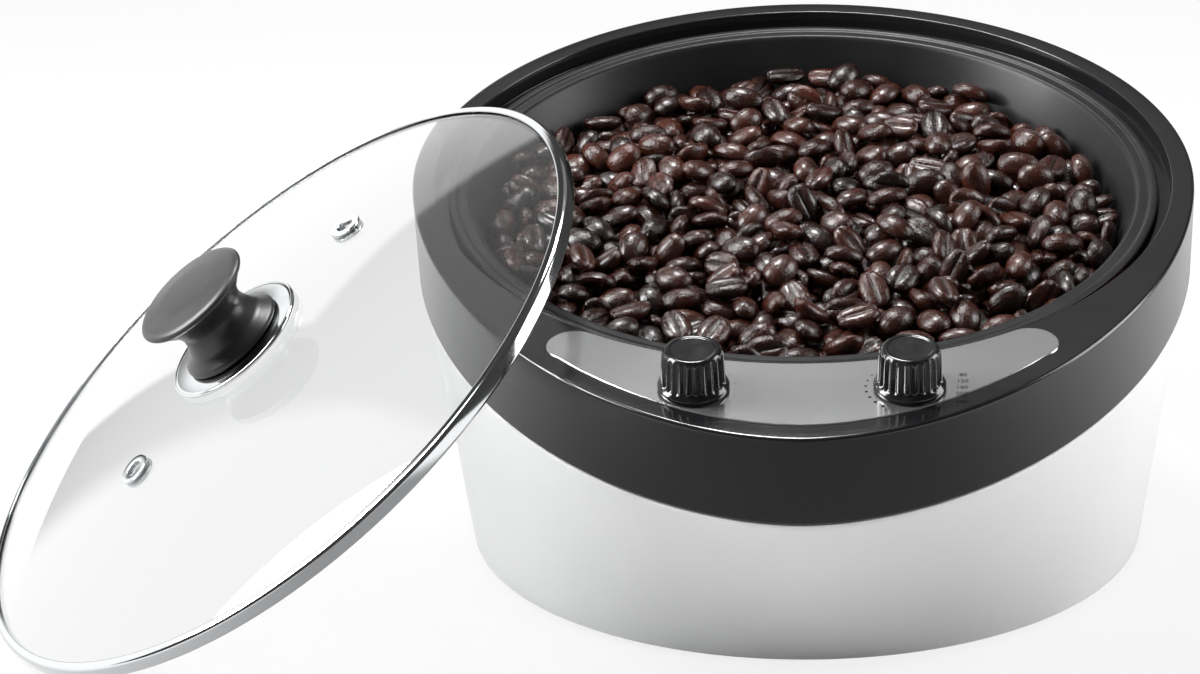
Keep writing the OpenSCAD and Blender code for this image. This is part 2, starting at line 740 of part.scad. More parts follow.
module stir_arm() {
    paddle_h = arm_lift - 2;
    color([0.3, 0.3, 0.31]) deck() difference() {
        union() {
            translate([0, 0, arm_z]) cylinder(r = shaft_r + 4.5, h = hub_h);
            translate([0, -arm_w / 2, arm_z]) cube([arm_reach - arm_w / 2, arm_w, arm_t]);
            translate([arm_reach - arm_w / 2, 0, arm_z]) cylinder(r = arm_w / 2, h = arm_t);
            translate([-short_reach, -arm_w / 2, arm_z]) cube([short_reach, arm_w, arm_t]);
            for (x = [34, 62, arm_reach - 8]) translate([x, 0, arm_z - paddle_h])
                rotate([0, 0, 35]) translate([-1.5, -9, 0]) cube([3, 18, paddle_h + 1]);
            for (x = [24, short_reach - 4]) translate([-x, 0, arm_z - paddle_h])
                rotate([0, 0, -35]) translate([-1.5, -7, 0]) cube([3, 14, paddle_h + 1]);
        }
        translate([0, 0, arm_z - 20]) cylinder(r = shaft_r + snug, h = 60, $fn = 64);
    }
}

module stir_nut() {
    color("silver") deck() difference() {
        union() {
            translate([0, 0, hub_top_z]) cylinder(r = shaft_r + 3, h = nut_h - 2, $fn = 6);
            translate([0, 0, hub_top_z + nut_h - 2]) cylinder(r1 = shaft_r + 1.5, r2 = shaft_r - 1,
                h = 2, $fn = 48);
        }
        translate([0, 0, hub_top_z - 1]) cylinder(r = shaft_r - 1.2 + snug, h = nut_h - 0.2, $fn = 48);
    }
}

function pot_inner(z) = pot_r - (pot_r - pot_floor_r - pot_lean) * (flange_z - z)
    / (pot_depth - pot_bend_r);

module bean_charge() {
    edge_drop = 3;
    color([0.28, 0.13, 0.08]) deck() difference() {
        rotate_extrude() polygon([[0, bean_bottom_z], [pot_inner(bean_bottom_z) - 0.6, bean_bottom_z],
            [pot_inner(bean_top_z - edge_drop) - 0.6, bean_top_z - edge_drop],
            [pot_r - 12, bean_top_z - 0.8], [pot_r - 30, bean_top_z], [0, bean_top_z]]);
        translate([0, 0, bean_bottom_z - 1])
            cylinder(r = shaft_r + 5, h = hub_top_z + nut_h + fit + 1 - bean_bottom_z);
    }
}

module timer_body() {
    color([0.88, 0.88, 0.86]) deck() translate([-knob_x, -knob_y, 0]) difference() {
        union() {
            translate([-timer_size[0] / 2, -timer_front, -deck_t - body_gap - timer_size[2]])
                cube(timer_size);
            translate([0, 0, -deck_t - 1]) cylinder(r = nose_bush_r, h = deck_t + 1 + panel_top_z
                + nut_t, $fn = 48);
            for (x = [-12, 0, 12]) translate([x - 2.4, -0.4, -deck_t - timer_size[2] - 6])
                cube([4.8, 0.8, 7]);
        }
        translate([0, 0, -16]) cylinder(r = spindle_r + running, h = 30, $fn = 48);
    }
}

module thermostat_body() {
    color([0.8, 0.78, 0.72]) deck() translate([knob_x, -knob_y, 0]) difference() {
        union() {
            translate([0, 0, -deck_t - body_gap - thermostat_h]) cylinder(r = thermostat_r,
                h = thermostat_h);
            translate([0, 0, -deck_t - 1]) cylinder(r = nose_bush_r, h = deck_t + 1 + panel_top_z
                + nut_t, $fn = 48);
            translate([-9, 1, -deck_t - thermostat_h - 6.6]) cube([18, 8, 7]);
        }
        translate([0, 0, -16]) cylinder(r = spindle_r + running, h = 30, $fn = 48);
    }
}

module spindle(x) {
    color("silver") deck() translate([x, -knob_y, -14]) {
        cylinder(r = spindle_r, h = spindle_top_z + 14, $fn = 48);
    }
}

module timer_spindle() {
    spindle(-knob_x);
}

module heat_spindle() {
    spindle(knob_x);
}

// A fluted knob with a skirt and a pointer ridge
module knob() {
    cap_bevel = 1.6;
    flute_r = 0.8;
    difference() {
        union() {
            cylinder(r = skirt_r, h = 2, $fn = 72);
            translate([0, 0, 2]) cylinder(r1 = skirt_r, r2 = knob_r + 0.6, h = 0.8, $fn = 72);
            translate([0, 0, 2.8]) cylinder(r1 = knob_r + 0.6, r2 = knob_r,
                h = knob_h - 2.8 - cap_bevel, $fn = 72);
            translate([0, 0, knob_h - cap_bevel]) cylinder(r1 = knob_r, r2 = knob_r - cap_bevel,
                h = cap_bevel, $fn = 72);
        }
        for (i = [0:flute_count - 1]) rotate([0, 0, 360 * i / flute_count])
            translate([knob_r + 0.3, 0, 3.4]) cylinder(r = flute_r, h = knob_h, $fn = 16);
        translate([0, 0, -1]) cylinder(r = nose_bush_r + 2.6, h = 3.4, $fn = 48);
        translate([0, 0, -1]) cylinder(r = spindle_r + snug, h = knob_h - 3, $fn = 48);
    }
}

module timer_knob() {
    color([0.07, 0.07, 0.075]) deck() translate([-knob_x, -knob_y, knob_z]) knob();
}

module heat_knob() {
    color([0.07, 0.07, 0.075]) deck() translate([knob_x, -knob_y, knob_z]) knob();
}

module control_nuts() {
    color("silver") deck() at_knobs() translate([0, 0, panel_top_z]) difference() {
        cylinder(r = nose_bush_r + 2, h = nut_t - 0.2, $fn = 6);
        translate([0, 0, -1]) cylinder(r = nose_bush_r + snug, h = nut_t + 2, $fn = 48);
    }
}

terminal_size = [36, 14, 13];
terminal_place = [-18, base_r - 40, plate_t];
terminal_pitch = 12;

module terminal_block() {
    color([0.9, 0.9, 0.86]) difference() {
        translate(terminal_place) cube(terminal_size);
        for (i = [0:2]) translate(terminal_place + [(i + 0.5) * terminal_pitch, 0, 0]) {
            translate([0, terminal_size[1] / 2, 5]) cylinder(r = 2.2, h = 20, $fn = 32);
            translate([0, terminal_size[1] + 1, 3]) rotate([90, 0, 0]) cylinder(r = 1.7, h = 30, $fn = 32);
        }
    }
}

module terminal_screws() {
    color("silver") for (i = [0:2])
        translate(terminal_place + [(i + 0.5) * terminal_pitch, terminal_size[1] / 2, 5])
            cylinder(r = 2.1, h = 5, $fn = 32);
}

// Wire routes from the terminal block, round numbers in the row frame
wire_r = 1.3;
wire_y = terminal_place[1] + 4;
wires = [
    [[-12, wire_y, 6], [-12, wire_y - 18, 6], [-70, 40, 8], [-84, -40, 12], [-48, -112, 42],
        [-47, -140, 76]],
    [[0, wire_y, 6], [0, wire_y - 22, 6], [-60, 34, 8], [-76, -42, 12], [-38, -112, 42],
        [-35, -140, 76]],
    [[12, wire_y, 6], [12, wire_y - 18, 6], [70, 40, 8], [84, -40, 12], [52, -108, 42],
        [42, -137, 80.3]]];

module wiring() {
    color([0.75, 0.2, 0.12]) for (w = wires) wire(w, wire_r);
}

module cord_gland() {
    color([0.1, 0.1, 0.1]) gland_frame() difference() {
        union() {
            translate([0, 0, gland_face_y]) cylinder(r = gland_flange_r, h = 3, $fn = 64);
            translate([0, 0, gland_face_y + 3]) cylinder(r1 = 7.5, r2 = 6, h = 3, $fn = 64);
            translate([0, 0, gland_boss_y - 8]) cylinder(r = gland_body_r,
                h = gland_face_y + 1 - gland_boss_y + 8, $fn = 64);
        }
        translate([0, 0, gland_boss_y - 20]) cylinder(r = gland_bore_r, h = 60, $fn = 64);
    }
}

module gland_nut() {
    color([0.16, 0.16, 0.16]) gland_frame() difference() {
        translate([0, 0, gland_boss_y - gland_nut_t - 0.5]) cylinder(r = 9.5, h = gland_nut_t, $fn = 6);
        translate([0, 0, gland_boss_y - 12]) cylinder(r = gland_body_r + snug, h = 20, $fn = 64);
    }
}

module lid_glass() {
    steps = 20;
    color([0.8, 0.86, 0.88, 0.4]) lid_frame() difference() {
        rotate_extrude() polygon(concat(
            [for (i = [0:steps]) let (r = glass_edge_r * i / steps) [r, dome_z(r) - glass_t / 2]],
            [for (i = [steps:-1:0]) let (r = glass_edge_r * i / steps) [r, dome_z(r) + glass_t / 2]]));
        translate([0, 0, dome_rise - 10]) cylinder(r = lid_screw_r + 0.6, h = 20, $fn = 48);
        for (side = [-1, 1]) eyelet_frame(side) translate([0, 0, -10])
            cylinder(r = vent_r + 1.1, h = 20, $fn = 48);
    }
}

module eyelet_frame(side) {
    slope = asin(eyelet_place / dome_r);
    rotate([0, 0, eyelet_turn]) translate([side * eyelet_place, 0, dome_z(eyelet_place)])
        rotate([0, side * slope, 0]) children();
}

module lid_rim() {
    lip_z = dome_z(lid_r - rim_grip) + glass_t / 2;
    color([0.78, 0.79, 0.8]) lid_frame() rotate_extrude() polygon([
        [glass_edge_r + 0.1, glass_t / 2 + 0.2], [lid_r - rim_grip, lip_z + 0.3],
        [lid_r - rim_grip, lip_z + 0.9], [lid_r - 1, glass_t / 2 + 1.2], [lid_r, glass_t / 2 + 0.4],
        [lid_r, -rim_h / 2 + 0.8], [lid_r - 0.8, -rim_h / 2], [lid_r - rim_grip, -rim_h / 2],
        [lid_r - rim_grip, -rim_h / 2 + 0.5], [glass_edge_r + 0.1, -rim_h / 2 + 0.5]]);
}

module lid_knob() {
    foot_r = lid_knob_r - 1;
    color([0.09, 0.09, 0.095]) lid_frame() translate([0, 0, lid_knob_z]) difference() {
        rotate_extrude() polygon([[0, 0], [foot_r, 0], [foot_r, 2], [lid_waist_r + 2.6, 5],
            [lid_waist_r + 0.4, 9], [lid_waist_r, 12], [lid_waist_r + 1.2, 15],
            [lid_knob_r - 3, lid_knob_h - 6], [lid_knob_r, lid_knob_h - 4],
            [lid_knob_r - 1, lid_knob_h - 2.4], [lid_knob_r * 0.5, lid_knob_h - 0.4], [0, lid_knob_h]]);
        translate([0, 0, -1]) cylinder(r = lid_screw_r + snug, h = 13, $fn = 48);
    }
}

module lid_knob_plate() {
    color([0.85, 0.86, 0.87]) lid_frame() tube(knob_plate_r, lid_screw_r + 0.1, crown_z, knob_plate_t);
}

module lid_washer() {
    color([0.3, 0.3, 0.3]) lid_frame() tube(7, lid_screw_r + 0.1,
        dome_rise - glass_t / 2 - washer_t - washer_gap, washer_t);
}

module lid_screw() {
    head_z = dome_rise - glass_t / 2 - washer_t - washer_gap;
    color("silver") lid_frame() translate([0, 0, head_z])
        screw(lid_screw_r, 5, 2.2, lid_knob_z + 10 - head_z);
}

module lid_eyelets() {
    color([0.8, 0.81, 0.82]) lid_frame() for (side = [-1, 1]) eyelet_frame(side) {
        tube(vent_r + 1, vent_r, -glass_t / 2 - 0.8, glass_t + 1.6);
        tube(vent_r + 3, vent_r, glass_t / 2 + 0.1, 0.9);
        tube(vent_r + 3, vent_r, -glass_t / 2 - 1, 0.9);
    }
}

base_shell();
collar_ring();
control_panel();
bottom_plate();
plate_screws();
rubber_feet();
foot_screws();
collar_screws();
roasting_pot();
pot_gasket();
heat_shield();
shield_screws();
heater_ring();
heater_clamps();
heater_bushes();
thermal_fuse();
sensor_bulb();
gear_case();
case_cover();
case_screws();
motor();
motor_pinion();
output_gear();
drive_shaft();
shaft_bush();
shaft_seal();
stir_arm();
stir_nut();
bean_charge();
timer_body();
timer_spindle();
timer_knob();
thermostat_body();
heat_spindle();
heat_knob();
control_nuts();
terminal_block();
terminal_screws();
wiring();
cord_gland();
gland_nut();
lid_glass();
lid_rim();
lid_knob();
lid_knob_plate();
lid_washer();
lid_screw();
lid_eyelets();
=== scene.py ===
"""Looks of the home coffee bean roaster: a tapered white base, a black collar that slopes to the front, a
silver panel with two knobs, a pot of dark beans, and a glass lid that leans on the collar."""
import json
import math

import bmesh
import bpy
import numpy as np
from mathutils import Matrix, Vector


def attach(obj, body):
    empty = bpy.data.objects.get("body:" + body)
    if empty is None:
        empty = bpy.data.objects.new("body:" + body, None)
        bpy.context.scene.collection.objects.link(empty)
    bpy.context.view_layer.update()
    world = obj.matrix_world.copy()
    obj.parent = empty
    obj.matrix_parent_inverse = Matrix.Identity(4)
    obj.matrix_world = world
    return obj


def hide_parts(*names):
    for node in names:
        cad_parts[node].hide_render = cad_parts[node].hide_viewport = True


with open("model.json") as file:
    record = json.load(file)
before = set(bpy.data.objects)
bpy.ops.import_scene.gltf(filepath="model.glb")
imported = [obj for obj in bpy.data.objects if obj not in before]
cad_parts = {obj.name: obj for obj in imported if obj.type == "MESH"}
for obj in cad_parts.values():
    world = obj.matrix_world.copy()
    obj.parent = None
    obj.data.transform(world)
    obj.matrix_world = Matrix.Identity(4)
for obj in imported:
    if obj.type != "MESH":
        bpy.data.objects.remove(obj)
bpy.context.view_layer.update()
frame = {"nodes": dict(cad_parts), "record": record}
nodes = frame["nodes"]

# Frames that turn millimetres into the scene's metres. PLATE is level, DECK slopes with the collar, and
# LID leans with the lid. Sizes are in millimetres, and a height is over the frame of its own piece.
TILT = math.radians(11)
DECK_Z = 136.0
PLATE = Matrix.Scale(0.001, 4)
DECK = Matrix.Translation((0, 0, DECK_Z / 1000)) @ Matrix.Rotation(TILT, 4, "X") @ PLATE
LID_PLACE = (-0.186215, -0.062748, 0.079789)
LID_BEARING, LID_LEAN = math.radians(203), math.radians(37.6)
LID = (Matrix.Translation(LID_PLACE) @ Matrix.Rotation(LID_BEARING, 4, "Z")
       @ Matrix.Rotation(LID_LEAN, 4, "Y") @ PLATE)

# Collar
COLLAR_R, NOSE = 140.0, 179.0
NOSE_POWER = 1.83
OUTLINE_POINTS = 256
BAND_H = 33.0
RECESS_R, RECESS_Z = 132.0, -6.7
HOLE_R, LEDGE_Z = 121.3, -10.5

# Base
BASE_R, SHELL_WALL = 124.0, 2.6
SHELL_TOP, SHELL_INSET = -33.3, 1.6

# Pot
FLANGE_R, FLANGE_Z = 127.4, -4.0
POT_R, POT_WALL = 119.2, 1.5
POT_FLOOR_R, POT_FLOOR_Z, POT_BEND = 104.0, -62.0, 10.0
SHAFT_HOLE_R, HUB_TOP, HUB_FOOT = 6.0, -46.0, -66.5

# Panel and knobs
PANEL_TOP = 0.4
KNOB_X = {"timer": -35.0, "heat": 35.0}
KNOB_Y, KNOB_GAP = -148.5, 0.2
FLUTES, FLUTE_DEPTH = 24, 0.75
FLUTE_FROM, FLUTE_TO, FLUTE_FADE = 2.6, 14.3, 0.8
INK_Z, INK_FOOT = PANEL_TOP + 0.03, PANEL_TOP - 0.05

# Lid
LID_R, RIM_GRIP = 131.0, 3.4
GLASS_R, GLASS_T, GLASS_BORE = LID_R - 1.2, 4.0, 3.0
DOME_RISE = 20.0
DOME_R = (GLASS_R ** 2 + DOME_RISE ** 2) / (2 * DOME_RISE)
EYELET_R, EYELET_TURN = 57.0, math.radians(15)

# Beans
BEAN_TOP = -11.0
BEAN_HALF_LENGTH, BEAN_HALF_WIDTH = 7.6, 5.6
POURED, SCATTERED = 1040, 900
HEAP_R = 110
FALL_FRAMES = 75
LAYOUT_SEED, VARIETY_SEED = 7, 3

# Degrees over which an edge stays sharp, metres within which two points are one on a made surface and on a
# CAD node, and the widths of the bevels that ease the sharp edges of CAD nodes
SHARP_ANGLE = 34
DOUBLES, CAD_DOUBLES = 2e-6, 5e-6
EASED = {"bottom_plate": 0.4, "rubber_feet": 0.6, "foot_screws": 0.15, "plate_screws": 0.15,
         "cord_gland": 0.15, "lid_washer": 0.15, "lid_screw": 0.15, "control_nuts": 0.15,
         "control_panel": 0.35, "pot_gasket": 0.15}

# Studio: levels of light, where 1 is white, and how much of what the camera sees of the floor is a glow
ROOM_LIGHT, ROOM_IN_GLOSS = 0.13, 0.08
LID_SCREENS, THIRD_SCREEN = 1.8, 0.25
FLOOR_IN_GLOSS, SEEN_THROUGH = 0.44, 0.88
FLOOR_GLOW = 0.85
FLOOR_Z = -2.5

# Camera, fitted to the edges of the collar, the base and the pot: metres, degrees, millimetres of lens
CAMERA_PLACE = (0.00714928, -1.17511094, 0.50401336)
CAMERA_TURN = (69.87462468, 1.63002898, 3.40694339)
SENSOR_WIDTH, LENS = 36, 101.8547


def set_up(item, **values):
    """Sets several attributes of one Blender item, and returns it."""
    for label, value in values.items():
        setattr(item, label, value)
    return item


# ---------------------------------------------------------------- shader maths
class Wire:
    """One output of a shader node; arithmetic on it adds Math nodes to the same shading."""

    def __init__(self, shading, socket):
        self.shading, self.socket = shading, socket

    def maths(self, operation, *values):
        return self.shading.node("Math", {"operation": operation}, dict(enumerate(values)))

    def __add__(self, other):
        return self.maths("ADD", self, other)

    __radd__ = __add__

    def __sub__(self, other):
        return self.maths("SUBTRACT", self, other)

    def __rsub__(self, other):
        return self.maths("SUBTRACT", other, self)

    def __mul__(self, other):
        return self.maths("MULTIPLY", self, other)

    __rmul__ = __mul__

    def __abs__(self):
        return self.maths("ABSOLUTE", self)

    def between(self, start, end):
        """A smooth step from 0 at the start to 1 at the end, which may be the lower of the two."""
        return self.shading.node("MapRange", {"interpolation_type": "SMOOTHSTEP"},
                                 {"Value": self, "From Min": start, "From Max": end})


class Shading:
    """The nodes of one material or world, with a shader that feeds the output."""

    def __init__(self, owner, shader, output):
        owner.use_nodes = True
        self.tree = owner.node_tree
        self.tree.nodes.clear()
        self.shader = self.tree.nodes.new("ShaderNode" + shader)
        self.out = self.tree.nodes.new("ShaderNode" + output)
        self.tree.links.new(self.shader.outputs[0], self.out.inputs[0])

    def node(self, kind, settings=None, sockets=None, out=0):
        """Adds a node: its settings first, then the values or links of its sockets."""
        made = set_up(self.tree.nodes.new("ShaderNode" + kind), **(settings or {}))
        for label, value in (sockets or {}).items():
            socket = made.inputs[label]
            if isinstance(value, Wire):
                self.tree.links.new(value.socket, socket)
            elif socket.type == "RGBA":
                socket.default_value = (*value, 1)
            else:
                socket.default_value = value
        return Wire(self, made.outputs[out])

    def feed(self, socket, wire):
        """Links a wire to a socket of the shader."""
        self.tree.links.new(wire.socket, self.shader.inputs[socket])
        return self

    def rays(self):
        """Masks of rays from the camera, of rays through glass, and of rays off gloss outside glass."""
        through = self.node("LightPath", out="Is Transmission Ray")
        gloss = self.node("LightPath", out="Is Glossy Ray") * (1 - through)
        return self.node("LightPath", out="Is Camera Ray"), through, gloss


class Finish(Shading):
    """A material with one Principled shader, whose uniform values are set on its own sockets."""

    def __init__(self, name, colour, roughness, **uniform):
        self.name = name
        self.material = bpy.data.materials.new(name)
        super().__init__(self.material, "BsdfPrincipled", "OutputMaterial")
        self.shader.inputs["Base Color"].default_value = (*colour, 1)
        self.shader.inputs["Roughness"].default_value = roughness
        for label, value in uniform.items():
            self.shader.inputs[label.replace("_", " ")].default_value = value

    def stretched(self, scale, turn=(0, 0, 0)):
        """The piece's own coordinates, scaled and turned, for a pattern with a grain."""
        return self.node("Mapping", {}, {"Vector": self.node("TexCoord", out="Object"), "Scale": scale,
                                         "Rotation": turn})

    def noise(self, scale, detail, where=None, roughness=0.5):
        """Clouds from 0 to 1, on the piece's own coordinates or on others."""
        where = where or self.node("TexCoord", out="Object")
        return self.node("TexNoise", {}, {"Vector": where, "Scale": scale, "Detail": detail,
                                          "Roughness": roughness})

    def cells(self, scale):
        """Distance from the nearest of a cloud of points: 0 at each of them."""
        return self.node("TexVoronoi", {}, {"Vector": self.node("TexCoord", out="Object"),
                                            "Scale": scale}, "Distance")

    def mix(self, mask, first, second):
        """The first colour where the mask is 0, and the second where it is 1."""
        return self.node("Mix", {"data_type": "RGBA"}, {0: mask, 6: first, 7: second}, 2)

    def bump(self, height, distance, strength):
        """Relief of a height from 0 to 1, whose full depth is distance in millimetres."""
        return self.feed("Normal", self.node("Bump", {}, {
            "Strength": strength, "Distance": distance * 0.001, "Height": height}))


# ---------------------------------------------------------------- finishes
def shell_white():
    """Satin moulded plastic: a faint orange peel, slightly clouded white and uneven gloss."""
    f = Finish("shell_white", (0.88, 0.88, 0.88), 0.34, Specular_IOR_Level=0.45)
    peel = f.noise(700, 2)
    cloud = f.noise(14, 3)
    f.feed("Base Color", f.mix(cloud.between(0.3, 0.75), (0.895, 0.895, 0.895), (0.865, 0.868, 0.872)))
    f.feed("Roughness", 0.31 + cloud * 0.07 + f.noise(2600, 1) * 0.03)
    return f.bump(peel, 0.012, 0.35)


def collar_black():
    """Glossy black plastic with a fine peel, hair scratches and specks of grey lint."""
    f = Finish("collar_black", (0.012, 0.012, 0.013), 0.16, Specular_IOR_Level=0.5)
    cloud = f.noise(22, 4)
    hairs = f.noise(90, 6, f.stretched((1, 14, 14), (0.2, 0.5, 0.8)))
    specks = f.cells(330).between(0.07, 0.03)
    f.feed("Base Color", f.mix(specks * 0.35 + cloud * 0.25, (0.009, 0.009, 0.010), (0.03, 0.03, 0.031)))
    f.feed("Roughness", 0.13 + cloud.between(0.35, 0.8) * 0.09 + hairs.between(0.55, 0.7) * 0.06)
    return f.bump(f.noise(520, 2) + specks * 0.4, 0.008, 0.3)


def panel_silver():
    """Silver-grey polished plate: a dim mirror under a clear coat, with very fine drawn lines."""
    f = Finish("panel_silver", (0.53, 0.533, 0.54), 0.16, Metallic=0.85, Coat_Weight=0.35,
               Coat_Roughness=0.05)
    lines = f.noise(260, 4, f.stretched((1, 26, 26)))
    cloud = f.noise(30, 3)
    f.feed("Base Color", f.mix(lines, (0.51, 0.513, 0.52), (0.56, 0.563, 0.57)))
    f.feed("Roughness", 0.1 + lines * 0.07 + cloud * 0.05)
    return f.bump(lines, 0.003, 0.25)


def moulded(name, dark, pale, gloss, grain=420, depth=0.03):
    """Moulded plastic with a spark-eroded grain; its colour runs between two close tones."""
    f = Finish(name, dark, gloss)
    grit = f.noise(grain, 5, roughness=0.65)
    cloud = f.noise(25, 2)
    f.feed("Base Color", f.mix(grit * 0.6 + cloud * 0.4, dark, pale))
    f.feed("Roughness", gloss - 0.06 + grit * 0.12)
    return f.bump(grit + f.cells(grain * 2.2) * 0.4, depth, 0.5)


def drawn_metal(name, dark, pale, gloss, grain=(1, 30, 30)):
    """Metal with fine drawn or turned lines, along the axis on which the grain isn't squeezed, and faint
    handling marks."""
    f = Finish(name, pale, gloss, Metallic=1.0)
    lines = f.noise(90, 5, f.stretched(grain))
    cloud = f.noise(40, 3)
    f.feed("Base Color", f.mix(lines * 0.6 + cloud * 0.4, dark, pale))
    f.feed("Roughness", gloss - 0.07 + lines * 0.1 + cloud.between(0.4, 0.8) * 0.08)
    return f.bump(lines, 0.004, 0.4)


def pot_coating():
    """Black non-stick coating: a fine speckle of paler flakes, a soft sheen and a light swirl."""
    f = Finish("pot_coating", (0.01, 0.01, 0.0105), 0.36, Specular_IOR_Level=0.25)
    flakes = f.cells(1100).between(0.16, 0.05)
    swirl = f.noise(35, 4)
    f.feed("Base Color", f.mix(flakes * 0.6 + swirl * 0.15, (0.006, 0.006, 0.0065), (0.045, 0.045, 0.047)))
    f.feed("Roughness", 0.3 + swirl * 0.14 - flakes * 0.08)
    return f.bump(f.noise(900, 3) + flakes * 0.3, 0.014, 0.5)


def soft_rubber(name, dark, pale, gloss=0.6):
    """Rubber: matt, with a powdery bloom and a shallow moulding grain."""
    f = Finish(name, dark, gloss)
    bloom = f.noise(55, 4)
    f.feed("Base Color", f.mix(bloom.between(0.35, 0.8), dark, pale))
    f.feed("Roughness", gloss + bloom * 0.15)
    return f.bump(f.noise(1400, 2), 0.02, 0.5)


def heated_sheath():
    """Heater sheath: steel gone straw-brown and blue-grey from heat, in clouds along the tube."""
    f = Finish("element_sheath", (0.2, 0.17, 0.15), 0.45, Metallic=1.0)
    heat = f.noise(28, 3)
    brown = f.mix(heat.between(0.3, 0.5), (0.30, 0.27, 0.25), (0.22, 0.14, 0.08))
    f.feed("Base Color", f.mix(heat.between(0.52, 0.7), brown, (0.11, 0.12, 0.16)))
    f.feed("Roughness", 0.38 + f.noise(700, 3) * 0.2)
    return f.bump(f.noise(900, 2), 0.01, 0.4)


def fired_ceramic():
    """Unglazed ceramic: chalky, with fine pits and a faint warm stain."""
    f = Finish("ceramic", (0.85, 0.82, 0.75), 0.8)
    stain = f.noise(60, 3)
    f.feed("Base Color", f.mix(stain.between(0.4, 0.75), (0.87, 0.85, 0.8), (0.78, 0.71, 0.6)))
    f.feed("Roughness", 0.72 + f.noise(500, 2) * 0.2)
    return f.bump(f.cells(1500) + f.noise(800, 3), 0.03, 0.5)


def cast_metal(name, dark, pale, gloss=0.42):
    """Die-cast metal: a fine frosty grain with flow clouds."""
    f = Finish(name, pale, gloss, Metallic=1.0)
    frost = f.cells(1300)
    flow = f.noise(35, 4)
    f.feed("Base Color", f.mix(frost * 0.5 + flow * 0.5, dark, pale))
    f.feed("Roughness", gloss - 0.08 + frost * 0.1 + flow * 0.12)
    return f.bump(frost + f.noise(600, 3), 0.02, 0.5)


def bean_skin():
    """Oily dark-roast skin. The map's u runs along the bean and v round it, with 0.5 on the furrow of the
    flat side, and tone is one number per bean. Wrinkles run along the bean, the furrow has a paler fleck
    of chaff and is painted near black as shade in its crease, and oil leaves glossy patches."""
    f = Finish("beans", (0.04, 0.012, 0.007), 0.25, Specular_IOR_Level=0.42, Coat_Roughness=0.08)
    where = f.node("UVMap", {"uv_map": "UVMap"})
    around = f.node("SeparateXYZ", {}, {0: where}, 1)
    tone = f.node("Attribute", {"attribute_name": "tone"}, {}, "Fac")
    fibre = f.noise(3.4, 5, f.node("Mapping", {}, {"Vector": where, "Scale": (1.2, 5.0, 1)}), 0.6)
    blotch = f.noise(170, 4)
    oil = f.noise(95, 3)
    furrow = abs(around - 0.5 + (f.noise(2.2, 2, where) - 0.5) * 0.035)
    # A mask of the furrow line: it cuts the furrow into the relief and paints the crease's shade into the
    # colour
    slit_and_shade = furrow.between(0.028, 0.008)
    chaff = f.noise(520, 2).between(0.55, 0.66) * furrow.between(0.05, 0.02) * tone.between(0.45, 0.9)
    brown = f.mix(tone, (0.004, 0.0012, 0.0008), (0.06, 0.014, 0.007))
    brown = f.mix(blotch.between(0.42, 0.7) * 0.65, brown, (0.009, 0.0025, 0.0016))
    brown = f.mix(fibre.between(0.52, 0.72) * 0.35, brown, (0.10, 0.03, 0.016))
    # Painted shade: the furrow line is darkened to near black, standing in for the shade inside the crease
    brown = f.mix(slit_and_shade * 0.9, brown, (0.006, 0.002, 0.0015))
    f.feed("Base Color", f.mix(chaff * 0.55, brown, (0.32, 0.19, 0.11)))
    f.feed("Roughness", 0.15 + oil * 0.17 + fibre * 0.08)
    f.feed("Coat Weight", oil.between(0.4, 0.62) * 0.45)
    return f.bump(fibre * 0.7 + f.noise(900, 3) * 0.3 - slit_and_shade * 1.2, 0.7, 0.9)


def knob_black():
    """Glossy black knob plastic with dulled, slightly paler patches."""
    f = Finish("knob_black", (0.01, 0.01, 0.011), 0.18)
    wear = f.noise(160, 4)
    f.feed("Base Color", f.mix(wear.between(0.4, 0.8), (0.008, 0.008, 0.009), (0.02, 0.02, 0.021)))
    f.feed("Roughness", 0.08 + wear * 0.1)
    return f.bump(f.noise(1500, 2), 0.008, 0.4)


def lid_glass():
    """Clear tempered glass with a barely uneven surface and traces of smears."""
    f = Finish("lid_glass", (0.985, 0.995, 0.992), 0.0, IOR=1.6, Transmission_Weight=1.0)
    smear = f.noise(16, 4)
    f.feed("Roughness", smear.between(0.55, 0.8) * 0.015)
    return f.bump(f.noise(30, 1), 0.01, 0.12)


def rim_steel():
    """Polished stainless steel with hair lines."""
    f = Finish("rim_steel", (0.62, 0.63, 0.64), 0.08, Metallic=1.0)
    lines = f.noise(120, 5, f.stretched((1, 18, 18)))
    f.feed("Base Color", f.mix(lines, (0.58, 0.59, 0.6), (0.68, 0.69, 0.7)))
    f.feed("Roughness", 0.05 + lines * 0.06 + f.noise(50, 3).between(0.5, 0.8) * 0.05)
    return f.bump(lines, 0.002, 0.3)


def lid_knob_black():
    """Heat-resistant black plastic: satin, with a fine even grain and rubbed patches."""
    f = Finish("lid_knob_black", (0.014, 0.014, 0.0145), 0.38)
    grit = f.noise(900, 4, roughness=0.7)
    rub = f.noise(45, 3)
    f.feed("Base Color", f.mix(grit * 0.5 + rub * 0.5, (0.009, 0.009, 0.0095), (0.026, 0.026, 0.027)))
    f.feed("Roughness", 0.3 + grit * 0.12 + rub.between(0.45, 0.8) * 0.1)
    return f.bump(grit, 0.02, 0.5)


